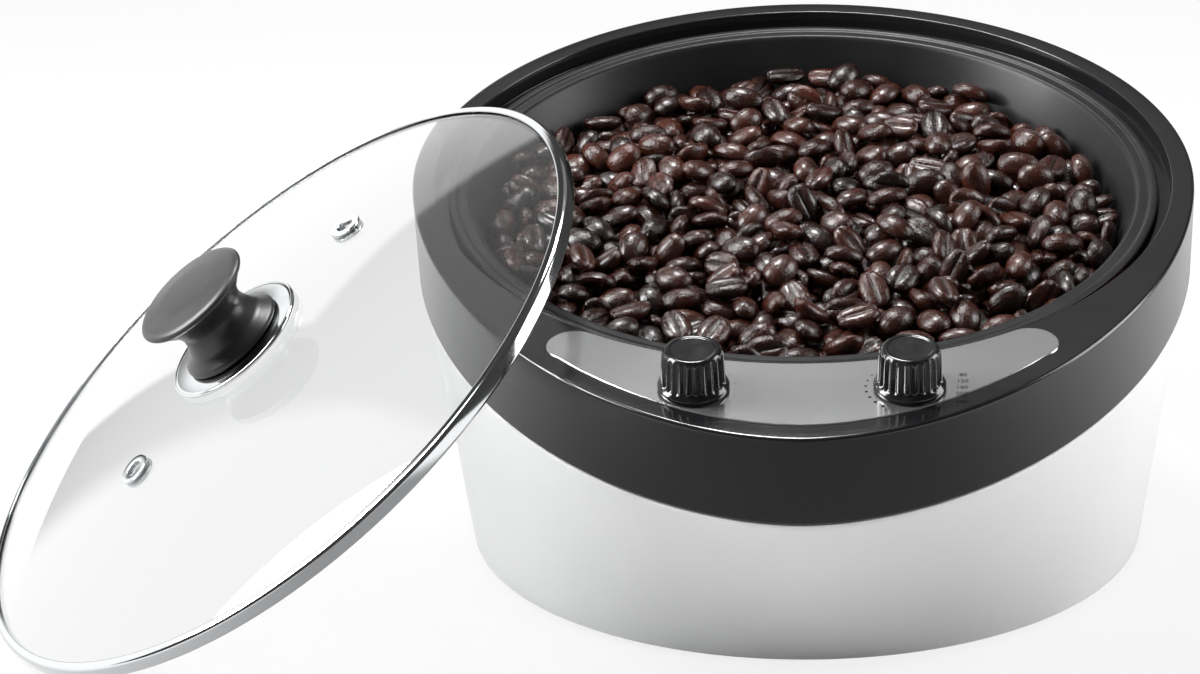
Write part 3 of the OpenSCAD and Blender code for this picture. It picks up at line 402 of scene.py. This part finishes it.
TURNED = (30, 30, 1)
FINISHES = {finish.name: finish.material for finish in (
    shell_white(), collar_black(), panel_silver(),
    moulded("plate_dark", (0.022, 0.022, 0.024), (0.04, 0.04, 0.042), 0.55),
    soft_rubber("foot_rubber", (0.014, 0.014, 0.014), (0.035, 0.034, 0.033)),
    drawn_metal("screw_steel", (0.5, 0.51, 0.53), (0.68, 0.69, 0.71), 0.3),
    pot_coating(),
    soft_rubber("gasket_red", (0.3, 0.05, 0.03), (0.4, 0.1, 0.07), 0.5),
    drawn_metal("shield_sheet", (0.52, 0.53, 0.55), (0.66, 0.67, 0.68), 0.3),
    heated_sheath(), fired_ceramic(),
    drawn_metal("copper_bulb", (0.5, 0.2, 0.1), (0.72, 0.36, 0.22), 0.35),
    cast_metal("case_metal", (0.5, 0.51, 0.52), (0.64, 0.65, 0.66)),
    drawn_metal("motor_can", (0.42, 0.43, 0.45), (0.56, 0.57, 0.59), 0.34, TURNED),
    drawn_metal("brass", (0.55, 0.38, 0.13), (0.74, 0.55, 0.24), 0.28, TURNED),
    moulded("gear_nylon", (0.72, 0.69, 0.56), (0.78, 0.75, 0.63), 0.45, 300, 0.015),
    cast_metal("bronze", (0.4, 0.24, 0.1), (0.56, 0.36, 0.17), 0.5),
    cast_metal("arm_metal", (0.035, 0.035, 0.037), (0.07, 0.07, 0.072), 0.4),
    bean_skin(),
    moulded("control_case", (0.66, 0.64, 0.56), (0.72, 0.7, 0.63), 0.5, 380, 0.02),
    knob_black(),
    soft_rubber("wire_red", (0.42, 0.035, 0.02), (0.5, 0.07, 0.045), 0.45),
    moulded("gland_black", (0.013, 0.013, 0.014), (0.03, 0.03, 0.031), 0.45),
    lid_glass(), rim_steel(), lid_knob_black(),
    soft_rubber("washer_grey", (0.07, 0.07, 0.07), (0.12, 0.12, 0.12)),
)}
SLOT_OF = {part["node"]: part["material_slot"] for part in frame["record"]["subparts"]}
BODY_OF = {name: body for body, names in frame["record"]["behaviour"]["bodies"].items() for name in names}
for name, item in nodes.items():
    item.data.materials.clear()
    item.data.materials.append(FINISHES[SLOT_OF[name]])


# ---------------------------------------------------------------- meshes
def put(name, data):
    """An object in the scene's own collection."""
    item = bpy.data.objects.new(name, data)
    bpy.context.scene.collection.objects.link(item)
    return item


def add(name, mesh, slot, body, stands_for=(), sharp=SHARP_ANGLE):
    """Puts a finished mesh in the scene, smooth but for edges over the sharp angle."""
    mesh.shade_smooth()
    mesh.set_sharp_from_angle(angle=math.radians(sharp))
    piece = put(name, mesh)
    mesh.materials.clear()
    mesh.materials.append(FINISHES[slot])
    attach(piece, body)
    if stands_for:
        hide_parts(*stands_for)
    return piece


def skin(name, grid, frame_of, loop_rows=False):
    """A surface through a grid of points, with one quad to each cell. The last column joins the first, and
    so does the last row of a loop. Doubled points at poles are merged, and faces are turned outwards."""
    grid = np.asarray(grid, float)
    rows, columns = grid.shape[:2]
    row, column = np.meshgrid(np.arange(rows - (not loop_rows)), np.arange(columns), indexing="ij")
    below, beside = (row + 1) % rows, (column + 1) % columns
    quads = np.stack([row * columns + column, below * columns + column, below * columns + beside,
                      row * columns + beside], -1).reshape(-1, 4)
    mesh = bpy.data.meshes.new(name)
    mesh.from_pydata(grid.reshape(-1, 3).tolist(), [], quads.tolist())
    mesh.transform(frame_of)
    work = bmesh.new()
    work.from_mesh(mesh)
    bmesh.ops.remove_doubles(work, verts=work.verts, dist=DOUBLES)
    bmesh.ops.recalc_face_normals(work, faces=work.faces)
    work.to_mesh(mesh)
    work.free()
    return mesh


def soften(points, radius, steps, closed=False):
    """A profile whose corners become short parabolic arcs that start a radius away from them. An open
    profile keeps its two ends."""
    corner = np.asarray(points, float)

    def towards(other):
        way = other - corner
        length = np.maximum(np.linalg.norm(way, axis=1, keepdims=True), 1e-9)
        return corner + way * np.minimum(0.48, radius / length)

    start, end = towards(np.roll(corner, 1, 0)), towards(np.roll(corner, -1, 0))
    t = np.linspace(0, 1, steps + 1)[None, :, None]
    arcs = (1 - t) ** 2 * start[:, None] + 2 * t * (1 - t) * corner[:, None] + t ** 2 * end[:, None]
    if closed:
        return arcs.reshape(-1, 2)
    return np.concatenate([corner[:1], arcs[1:-1].reshape(-1, 2), corner[-1:]])


def turned(profile, sides):
    """A profile of radius and height carried round the axis."""
    profile = np.asarray(profile, float)
    angle = np.linspace(0, 2 * np.pi, sides, endpoint=False)
    return np.stack([profile[:, :1] * np.cos(angle), profile[:, :1] * np.sin(angle),
                     np.repeat(profile[:, 1:], sides, 1)], -1)


def join(name, meshes):
    """One mesh from several."""
    whole = bmesh.new()
    for mesh in meshes:
        whole.from_mesh(mesh)
    made = bpy.data.meshes.new(name)
    whole.to_mesh(made)
    whole.free()
    return made


def dressed(node, width):
    """A merged copy of a CAD node with bevels of a width on its edges, which stands for the node."""
    mesh = nodes[node].data.copy()
    mesh.name = node + "_eased"
    work = bmesh.new()
    work.from_mesh(mesh)
    bmesh.ops.remove_doubles(work, verts=work.verts, dist=CAD_DOUBLES)
    bmesh.ops.dissolve_limit(work, angle_limit=math.radians(0.6), verts=work.verts, edges=work.edges)
    work.to_mesh(mesh)
    work.free()
    piece = add(node + "_eased", mesh, SLOT_OF[node], BODY_OF[node], (node,))
    set_up(piece.modifiers.new("ease", "BEVEL"), width=width * 0.001, segments=2, limit_method="ANGLE",
           angle_limit=math.radians(SHARP_ANGLE))


# ---------------------------------------------------------------- base, collar and pot
def outline(inset):
    """The collar's outline, moved in by an inset: half a circle at the back, and in front a superellipse
    as long as the nose."""
    angle = 2 * np.pi * np.arange(OUTLINE_POINTS) / OUTLINE_POINTS
    c, s = np.cos(angle), np.sin(angle)
    power = np.where(s >= 0, 1.0, 2 / NOSE_POWER)
    length = np.where(s >= 0, COLLAR_R, NOSE) - inset
    return np.stack([(COLLAR_R - inset) * np.sign(c) * np.abs(c) ** power,
                     length * np.sign(s) * np.abs(s) ** power], -1)


def collar_surface():
    """The collar: a profile of (inset, height) carried along the outline, then of (radius, height) along
    circles for the recess and the ledge, with each circle's point at the outline point's own angle."""
    band = soften([(3.0, -20.0), (3.0, -BAND_H), (0.0, -BAND_H), (0.0, 0.0), (5.0, 0.0)], 1.5, 6)
    well = soften([(RECESS_R + 2, 0.0), (RECESS_R, 0.0), (RECESS_R, RECESS_Z), (HOLE_R, RECESS_Z),
                   (HOLE_R, LEDGE_Z), (RECESS_R + 2, LEDGE_Z)], 0.5, 4)
    edge = outline(0)
    bearing = np.arctan2(edge[:, 1], edge[:, 0])
    rows = [np.column_stack([outline(inset), np.full(len(edge), z)]) for inset, z in band]
    rows += [np.column_stack([r * np.cos(bearing), r * np.sin(bearing), np.full(len(edge), z)])
             for r, z in well]
    return skin("collar", rows, DECK, loop_rows=True)


def shell_surface():
    """The base: straight lines from a circle on the plate to the collar's outline, each line joining
    points that face the same way, with a bead under the collar, and the same again inside."""
    def rim(inset, z):
        """The outline at a height over the sloping deck, in the level frame."""
        flat = outline(inset)
        return np.column_stack([flat[:, 0], math.cos(TILT) * flat[:, 1] - math.sin(TILT) * z,
                                DECK_Z + math.sin(TILT) * flat[:, 1] + math.cos(TILT) * z])

    foot_profile = ((3, 0), (0.8, 0), (0.2, 0.25))
    foot_rise, wall_top, plate_top = 0.8, -2.6, 3.0
    bead = ((1.6, -2.35), (1.45, -2.2), (0.95, -2.15), (0.68, -1.95), (0.6, -1.6), (0.6, -0.6),
            (0.7, -0.2), (1.0, 0.0), (3.3, 0.0), (4.2, 0.0), (4.2, -3.0))
    edge = rim(SHELL_INSET, SHELL_TOP)
    along = np.roll(edge, -1, 0) - np.roll(edge, 1, 0)
    way = np.column_stack([along[:, 1], -along[:, 0]]) / np.linalg.norm(along[:, :2], axis=1)[:, None]
    foot = np.column_stack([way * BASE_R, np.zeros(len(way))])
    top = rim(SHELL_INSET, SHELL_TOP + wall_top)
    rows = [foot * (1 - inset / BASE_R) + [0, 0, z] for inset, z in foot_profile]
    rows += [foot * (1 - share) + top * share + [0, 0, foot_rise * (1 - share)]
             for share in np.concatenate([np.linspace(0, 0.96, 14), [0.99, 1.0]])]
    rows += [rim(inset, SHELL_TOP + z) for inset, z in bead]
    inner = rim(SHELL_INSET + SHELL_WALL, SHELL_TOP - 3)
    under = np.column_stack([way * (BASE_R - SHELL_WALL), np.full(len(way), plate_top)])
    rows += [inner * (1 - share) + under * share for share in (0.3, 0.65, 1.0)]
    return skin("base", rows, PLATE, loop_rows=True)


def pot_surface():
    """The pot: one closed profile with a rounded flange, a leaning wall, a wide bend and a hub round the
    shaft's hole."""
    quarter = np.linspace(0, np.pi / 2, 10)
    lean = (POT_R - POT_FLOOR_R) * POT_BEND / (FLANGE_Z - POT_FLOOR_Z)

    def bend(grow):
        """The bend from the wall to the floor, on its inside or grown by the wall's thickness."""
        return np.column_stack([POT_FLOOR_R + lean + (POT_BEND + grow) * np.cos(quarter) - POT_BEND,
                                POT_FLOOR_Z + POT_BEND - (POT_BEND + grow) * np.sin(quarter)])

    lip = soften([(POT_R + POT_WALL, FLANGE_Z - POT_WALL), (FLANGE_R, FLANGE_Z - POT_WALL),
                  (FLANGE_R, FLANGE_Z), (FLANGE_R - 2.4, FLANGE_Z), (FLANGE_R - 3.4, FLANGE_Z - 0.7),
                  (POT_R + 1.2, FLANGE_Z - 0.7), (POT_R - 0.2, FLANGE_Z - 2.2)], 0.8, 4)
    hub = [(10.5, POT_FLOOR_Z), (9, HUB_TOP), (SHAFT_HOLE_R, HUB_TOP), (SHAFT_HOLE_R, HUB_FOOT),
           (10, HUB_FOOT), (10, POT_FLOOR_Z - POT_WALL)]
    profile = np.concatenate([lip, bend(0), hub, bend(POT_WALL)[::-1]])
    return skin("pot", turned(profile, 224), DECK, loop_rows=True)


def knob_surface(x):
    """A control knob: a skirt, and a grip up to a bevelled cap, whose radius falls by a power of a cosine
    at each flute, and not on the cap."""
    cap_r, flute_power = 9, 1.6
    profile = soften([(0, 0.4), (11.6, 0.4), (11.8, 0.5), (11.8, 1.7), (11.2, 2.3), (10.55, 3.2),
                      (10.4, 8), (10.1, 13.3), (9.8, 13.9), (8.6, 15.0), (7.6, 15.0), (7.2, 14.75),
                      (0, 14.75)], 0.45, 3)
    radius, height = profile[:, :1], profile[:, 1:]
    angle = np.linspace(0, 2 * np.pi, 10 * FLUTES, endpoint=False)
    depth = (FLUTE_DEPTH * np.clip((height - FLUTE_FROM) / FLUTE_FADE, 0, 1)
             * np.clip((FLUTE_TO - height) / FLUTE_FADE, 0, 1))
    depth = np.where(radius > cap_r, depth, 0)
    radius = radius - depth * np.abs(np.cos(FLUTES / 2 * angle))[None] ** flute_power
    grid = np.stack([x + radius * np.cos(angle), KNOB_Y + radius * np.sin(angle),
                     PANEL_TOP + KNOB_GAP + np.repeat(height, len(angle), 1)], -1)
    return skin("knob", grid, DECK)


# ---------------------------------------------------------------- lid
def dome(r, offset):
    """Height of the glass at a distance from its centre, on a sphere through its edge and crown."""
    return DOME_RISE - DOME_R + np.sqrt(np.maximum(DOME_R ** 2 - r ** 2, 0)) + offset


def glass_surface():
    """The lid's glass: two parallel domes joined by a rounded edge, and by a bore at the centre."""
    out = np.linspace(GLASS_BORE, GLASS_R - 0.9, 40)
    half = GLASS_T / 2
    edge = [(GLASS_R - 0.35, dome(GLASS_R, half - 0.5)), (GLASS_R - 0.1, dome(GLASS_R, 0)),
            (GLASS_R - 0.35, dome(GLASS_R, 0.5 - half))]
    profile = np.concatenate([np.column_stack([out, dome(out, half)]), edge,
                              np.column_stack([out, dome(out, -half)])[::-1]])
    return skin("glass", turned(profile, 224), LID, loop_rows=True)


def rim_surface():
    """The steel rim: a rolled channel that grips the edge of the glass from both sides."""
    mouth, grip = GLASS_R + 0.1, LID_R - RIM_GRIP
    profile = soften([(mouth, 2.25), (grip, 3.0), (grip, 3.55), (LID_R - 1, 3.15), (LID_R, 2.3),
                      (LID_R, -1.8), (LID_R - 0.8, -2.6), (grip, -2.6), (grip, -2.1), (mouth, -2.1)],
                     0.5, 5, closed=True)
    return skin("steel_rim", turned(profile, 256), LID, loop_rows=True)


def knob_plate_surface():
    """The polished disc under the lid's knob, with an edge that turns down."""
    profile = soften([(2.5, 22.0), (2.5, 23.2), (25.6, 23.2), (26.4, 23.4), (27, 22.9), (27, 22.0)],
                     0.3, 4, closed=True)
    return skin("knob_plate", turned(profile, 128), LID, loop_rows=True)


def lid_grip_surface():
    """The lid's knob: a foot, a waist and a wide cap with a low crown."""
    profile = soften([(0, 23.4), (19.6, 23.4), (19.6, 25.0), (15.4, 28.2), (13.4, 32.4), (13, 35.4),
                      (14.2, 38.4), (19, 43.0), (22, 45.2), (22, 46.4), (20.4, 47.4), (12, 48.6),
                      (0, 49.2)], 1.2, 5)
    return skin("lid_grip", turned(profile, 128), LID)


def eyelet_surface(side):
    """A vent eyelet with a flange on either side of the glass, tipped square to it."""
    profile = soften([(3, -3.0), (6, -3.0), (6, -2.1), (4, -2.1), (4, 2.1), (6, 2.1), (6, 3.0), (3, 3.0)],
                     0.35, 4, closed=True)
    place = (LID @ Matrix.Rotation(EYELET_TURN, 4, "Z")
             @ Matrix.Translation((side * EYELET_R, 0, float(dome(EYELET_R, 0))))
             @ Matrix.Rotation(side * math.asin(EYELET_R / DOME_R), 4, "Y"))
    return skin("eyelet", turned(profile, 64), place, loop_rows=True)


add("collar", collar_surface(), "collar_black", "housing", ("collar_ring",))
add("base", shell_surface(), "shell_white", "housing", ("base_shell",))
add("pot", pot_surface(), "pot_coating", "housing", ("roasting_pot",))
for name, x in KNOB_X.items():
    add(name + "_grip", knob_surface(x), "knob_black", name, (name + "_knob",))
add("glass", glass_surface(), "lid_glass", "lid", ("lid_glass",))
add("steel_rim", rim_surface(), "rim_steel", "lid", ("lid_rim",))
add("knob_plate", knob_plate_surface(), "rim_steel", "lid", ("lid_knob_plate",))
add("lid_grip", lid_grip_surface(), "lid_knob_black", "lid", ("lid_knob",))
add("eyelets", join("eyelets", [eyelet_surface(side) for side in (-1, 1)]), "rim_steel", "lid",
    ("lid_eyelets",))
for node, width in EASED.items():
    dressed(node, width)


# ---------------------------------------------------------------- beans
def bean_shape():
    """A bean about 15 mm long: a domed back, and a flatter face with a furrow along it. A section of
    twelve points is scaled down towards both ends on six rings, and each end is a pole. Returns the
    points, the faces, and for each corner of a face its map (along, round)."""
    section = np.array([(0.0, 0.74), (0.46, 0.64), (0.84, 0.36), (0.98, 0.0), (0.78, -0.25), (0.2, -0.34),
                        (0.0, -0.16), (-0.2, -0.34), (-0.78, -0.25), (-0.98, 0.0), (-0.84, 0.36),
                        (-0.46, 0.64)])
    angle = np.radians([-66, -41, -14, 14, 41, 66])
    width_power, height_power, pole_z, map_end = 0.8, 0.7, 0.4, 0.15
    sides, last = len(section), len(angle) - 1
    rings = np.stack([np.repeat(BEAN_HALF_LENGTH * np.sin(angle)[:, None], sides, 1),
                      BEAN_HALF_WIDTH * np.cos(angle)[:, None] ** width_power * section[None, :, 0],
                      BEAN_HALF_WIDTH * np.cos(angle)[:, None] ** height_power * section[None, :, 1]], -1)
    poles = [(-BEAN_HALF_LENGTH, 0, pole_z), (BEAN_HALF_LENGTH, 0, pole_z)]
    points = np.concatenate([rings.reshape(-1, 3), poles])
    first_pole, last_pole = len(points) - 2, len(points) - 1
    faces, maps = [], []
    around = np.arange(sides + 1) / sides
    for i in range(last):
        for j in range(sides):
            k = (j + 1) % sides
            faces.append((i * sides + j, i * sides + k, (i + 1) * sides + k, (i + 1) * sides + j))
            maps += [(i / last, around[j]), (i / last, around[j + 1]),
                     ((i + 1) / last, around[j + 1]), ((i + 1) / last, around[j])]
    for j in range(sides):
        k = (j + 1) % sides
        middle = (around[j] + around[j + 1]) / 2
        faces += [(j, first_pole, k), (last * sides + j, last * sides + k, last_pole)]
        maps += [(0, around[j]), (-map_end, middle), (0, around[j + 1])]
        maps += [(1, around[j]), (1, around[j + 1]), (1 + map_end, middle)]
    return points, faces, np.array(maps)


def pour(count):
    """Drops beans into a copy of the pot thirty times the real size, so that the solver's margins are
    small beside them, and returns the places and turns at which they come to rest, in the deck's frame."""
    grow = 0.03
    lowest_z, layer_step = -26, 16.5
    spot_step, row_shift, row_step, spread_r = 16.5, 8.2, 14.4, 103
    scene = bpy.context.scene
    chance = np.random.default_rng(LAYOUT_SEED)
    points, faces, _ = bean_shape()
    hull = bpy.data.meshes.new("hull")
    hull.from_pydata((points * grow).tolist(), [], faces)
    bowl = turned([(0, -36), (110, -36), (113.5, -28), (116.5, -4), (117, 150)], 96)
    walls = put("walls", skin("bowl", bowl, Matrix.Scale(grow, 4)))
    spots = [(x * spot_step + (row % 2) * row_shift, row * row_step)
             for row in range(-8, 9) for x in range(-8, 9)]
    spots = np.array([spot for spot in spots if math.hypot(*spot) < spread_r])
    falling = []
    for i in range(count):
        layer, spot = divmod(i, len(spots))
        x, y = spots[spot] + chance.uniform(-1, 1, 2)
        bean = put("falling", hull)
        bean.location = Vector((x, y, lowest_z + layer_step * layer)) * grow
        bean.rotation_mode = "QUATERNION"
        bean.rotation_quaternion = chance.normal(size=4)
        bean.rotation_quaternion.normalize()
        falling.append(bean)
    bpy.ops.rigidbody.world_add()
    world = set_up(scene.rigidbody_world, substeps_per_frame=6, solver_iterations=12)
    set_up(world.point_cache, frame_start=1, frame_end=FALL_FRAMES)
    bpy.ops.object.select_all(action="DESELECT")
    for item in falling + [walls]:
        item.select_set(True)
    bpy.context.view_layer.objects.active = walls
    bpy.ops.rigidbody.objects_add(type="ACTIVE")
    set_up(walls.rigid_body, type="PASSIVE", collision_shape="MESH")
    for item in falling + [walls]:
        set_up(item.rigid_body, use_margin=True, collision_margin=0.004, friction=0.45, restitution=0.0)
    for bean in falling:
        set_up(bean.rigid_body, collision_shape="CONVEX_HULL", mass=1.0, linear_damping=0.15,
               angular_damping=0.3)
    for moment in range(1, FALL_FRAMES + 1):
        scene.frame_set(moment)
    ready = bpy.context.evaluated_depsgraph_get()
    rest = [bean.evaluated_get(ready).matrix_world.copy() for bean in falling]
    places = np.array([matrix.translation for matrix in rest]) / grow
    turns = np.array([matrix.to_quaternion() for matrix in rest])
    bpy.ops.rigidbody.world_remove()
    for item in falling + [walls]:
        bpy.data.objects.remove(item)
    scene.frame_set(1)
    return places, turns


def levelled(places, turns):
    """The beans that stayed in the pot, raised until their sixty highest lie at the top of the charge, a
    little higher towards the wall, and without those too deep to be seen."""
    pot_r, pot_z, spill_z = 116, -45, 30
    crown, rise_at_wall, seen_depth = 1.2, 2.5, 19
    radius, height = np.hypot(places[:, 0], places[:, 1]), places[:, 2]
    inside = (radius < pot_r) & (height < spill_z) & (height > pot_z)
    places, turns, radius = places[inside], turns[inside], radius[inside]
    top = np.sort(places[:, 2])[-60:].mean()
    places[:, 2] += BEAN_TOP - crown - top + rise_at_wall * (radius / HEAP_R) ** 2
    seen = places[:, 2] > BEAN_TOP - seen_depth
    return places[seen], turns[seen]


def heap(places, turns):
    """Copies of the bean at each place and turn, each a little longer, wider or flatter and of its own
    bow and tone, in one mesh."""
    smallest, largest, bow = -0.09, 0.05, 0.012
    dark_weight, pale_weight = 2.2, 1.6
    map_shifts, map_shift = 40, 3.0
    chance = np.random.default_rng(VARIETY_SEED)
    points, faces, maps = bean_shape()
    count = len(places)
    w, x, y, z = turns.T
    spin = np.array([[1 - 2 * (y * y + z * z), 2 * (x * y - w * z), 2 * (x * z + w * y)],
                     [2 * (x * y + w * z), 1 - 2 * (x * x + z * z), 2 * (y * z - w * x)],
                     [2 * (x * z - w * y), 2 * (y * z + w * x), 1 - 2 * (x * x + y * y)]])
    bent = points[None] * (1 + chance.uniform(smallest, largest, (count, 1, 3)))
    bent[..., 2] -= chance.uniform(0, bow, (count, 1)) * bent[..., 0] ** 2
    spread = np.einsum("nij,nvj->nvi", spin.transpose(2, 0, 1), bent) + places[:, None]
    every_face = [tuple(k + i * len(points) for k in face) for i in range(count) for face in faces]
    mesh = bpy.data.meshes.new("beans")
    mesh.from_pydata(spread.reshape(-1, 3).tolist(), [], every_face)
    tones = np.repeat(chance.beta(pale_weight, dark_weight, count), len(points))
    mesh.attributes.new("tone", "FLOAT", "POINT").data.foreach_set("value", tones.astype(np.float32))
    layer = mesh.uv_layers.new(name="UVMap")
    shift = np.repeat(chance.integers(0, map_shifts, count), len(maps))[:, None] * [map_shift, 0.0]
    layer.data.foreach_set("uv", (np.tile(maps, (count, 1)) + shift).astype(np.float32).ravel())
    mesh.transform(DECK)
    return mesh


beans = pour(POURED)
add("bean_heap", heap(*levelled(*beans)), "beans", "stirrer", ("bean_charge",), sharp=60)


# ---------------------------------------------------------------- panel marks
def dot(x, y, r):
    """A dot of thin ink: a short wall round a flat cap."""
    angle = np.linspace(0, 2 * np.pi, 20, endpoint=False)
    ring = np.stack([x + r * np.cos(angle), y + r * np.sin(angle), np.full(len(angle), INK_Z)], -1)
    wall = skin("dot", np.stack([ring, ring * [1, 1, 0] + [0, 0, INK_FOOT]]), DECK)
    cap = bpy.data.meshes.new("cap")
    cap.from_pydata(ring.tolist(), [], [list(range(len(angle)))])
    cap.transform(DECK)
    return [wall, cap]


def number(text, x, y, size):
    """A number of thin ink, centred on a point."""
    letters = set_up(bpy.data.curves.new("number", "FONT"), body=text, size=size, align_x="CENTER",
                     align_y="CENTER", extrude=0.02)
    holder = put("number", letters)
    shape = bpy.data.meshes.new_from_object(holder.evaluated_get(bpy.context.evaluated_depsgraph_get()))
    shape.transform(DECK @ Matrix.Translation((x, y, INK_Z)))
    bpy.data.objects.remove(holder)
    return [shape]


def dial_marks():
    """Dots that grow round the left of the heat knob, a column of numbers to its right, and a ring of
    small dots round the timer knob."""
    growing_r, timer_r = 14.2, 13.9
    column_x, column_y, column_lean, column_step, number_size = 17.5, 7.5, 0.3, 3.8, 2.6
    marks = []
    for i, bearing in enumerate(range(148, 233, 14)):
        way = math.radians(bearing)
        marks += dot(KNOB_X["heat"] + growing_r * math.cos(way), KNOB_Y + growing_r * math.sin(way),
                     0.32 + 0.06 * i)
    for i, text in enumerate(("80", "120", "160", "200", "240")):
        marks += number(text, KNOB_X["heat"] + column_x - column_lean * i,
                        KNOB_Y + column_y - column_step * i, number_size)
    for i in range(13):
        way = math.radians(215 - 22.5 * i)
        marks += dot(KNOB_X["timer"] + timer_r * math.cos(way), KNOB_Y + timer_r * math.sin(way), 0.22)
    return join("dial_marks", marks)


add("dial_marks", dial_marks(), "knob_black", "housing")


# ---------------------------------------------------------------- studio
def pale_floor():
    """A matt white floor that shows nearly white to the camera, over its own shadows, a little less white
    through glass, and to gloss a grey that brightens to the left and right of the object."""
    f = Finish("floor_white", (0.62, 0.62, 0.62), 0.9, Specular_IOR_Level=0.0)
    plain, through, gloss = f.rays()
    side = abs(f.node("SeparateXYZ", {}, {0: f.node("TexCoord", out="Object")}, 0)).between(0.12, 0.4)
    level = plain + through * SEEN_THROUGH + gloss * (FLOOR_IN_GLOSS + side)
    glow = f.node("Emission", {}, {"Strength": level})
    share = plain * FLOOR_GLOW + through + gloss
    blend = f.node("MixShader", {}, {0: share, 1: Wire(f, f.shader.outputs[0]), 2: glow})
    f.tree.links.new(blend.socket, f.out.inputs[0])
    return f.material


def studio():
    """The world: white to the camera, a little less through glass, and an even soft light on the object.
    Gloss sees a dim room with three bright screens, whose edges are lines in azimuth and elevation
    (degrees): two at the back left, with a dark gap that leans between them, and a greyer one high at the
    back."""
    world = bpy.data.worlds.new("studio")
    bpy.context.scene.world = world
    sky = Shading(world, "Background", "OutputWorld")
    plain, through, gloss = sky.rays()
    way = sky.node("TexCoord", out="Generated")
    x, y, z = (sky.node("SeparateXYZ", {}, {0: way}, axis) for axis in range(3))
    degree = 180 / math.pi
    rise = sky.node("Math", {"operation": "ARCSINE"}, {0: z}) * degree
    turn = sky.node("Math", {"operation": "ARCTAN2"}, {0: y, 1: x}) * degree
    # Each screen's right and left edges in azimuth, and on the second line its edges in elevation
    first = (turn.between(97, 99) * (125.7 + rise * 0.27 - turn).between(-0.6, 0.6)
             * (26 - rise).between(-1, 1) * rise.between(-8, -6))
    second = ((turn - 132.3 - rise * 0.36).between(-1.5, 3) * (179 - turn).between(0, 2)
              * (28.8 + (turn - 136.7) * 1.04 - rise).between(-2, 4))
    third = (turn.between(62, 66) * (112 - turn).between(0, 4)
             * rise.between(35, 37) * (62 - rise).between(0, 3))
    seen = ROOM_IN_GLOSS + (first + second) * LID_SCREENS + third * THIRD_SCREEN
    lit = 1 - plain - through - gloss
    sky.feed("Strength", plain + through * SEEN_THROUGH + gloss * seen + lit * ROOM_LIGHT)


def softbox(name, place, aim, size, watts):
    """A rectangular lamp at a place, turned to face a point."""
    lamp = set_up(bpy.data.lights.new(name, "AREA"), shape="RECTANGLE", size=size[0], size_y=size[1],
                  energy=watts)
    turn = (Vector(aim) - Vector(place)).to_track_quat("-Z", "Y").to_euler()
    set_up(put(name, lamp), location=place, rotation_euler=turn)


floor = put("floor", skin("floor", turned([(0, FLOOR_Z), (400, FLOOR_Z), (9000, FLOOR_Z)], 64), PLATE))
floor.data.materials.append(pale_floor())
studio()
softbox("left_box", place=(-0.9, -0.1, 0.75), aim=(0, 0, 0.1), size=(0.4, 0.8), watts=23)
softbox("right_box", place=(1.0, 0.1, 0.5), aim=(0, 0, 0.08), size=(0.5, 0.9), watts=11)
softbox("top_box", place=(-0.1, 0.35, 1.1), aim=(0, 0, 0.12), size=(0.26, 0.26), watts=11)

camera = set_up(bpy.data.cameras.new("camera"), sensor_width=SENSOR_WIDTH, lens=LENS, clip_start=0.05,
                clip_end=30)
eye = set_up(put("camera", camera), location=CAMERA_PLACE,
             rotation_euler=[math.radians(angle) for angle in CAMERA_TURN])
bpy.context.scene.camera = eye
bpy.context.scene.view_settings.view_transform = "Standard"
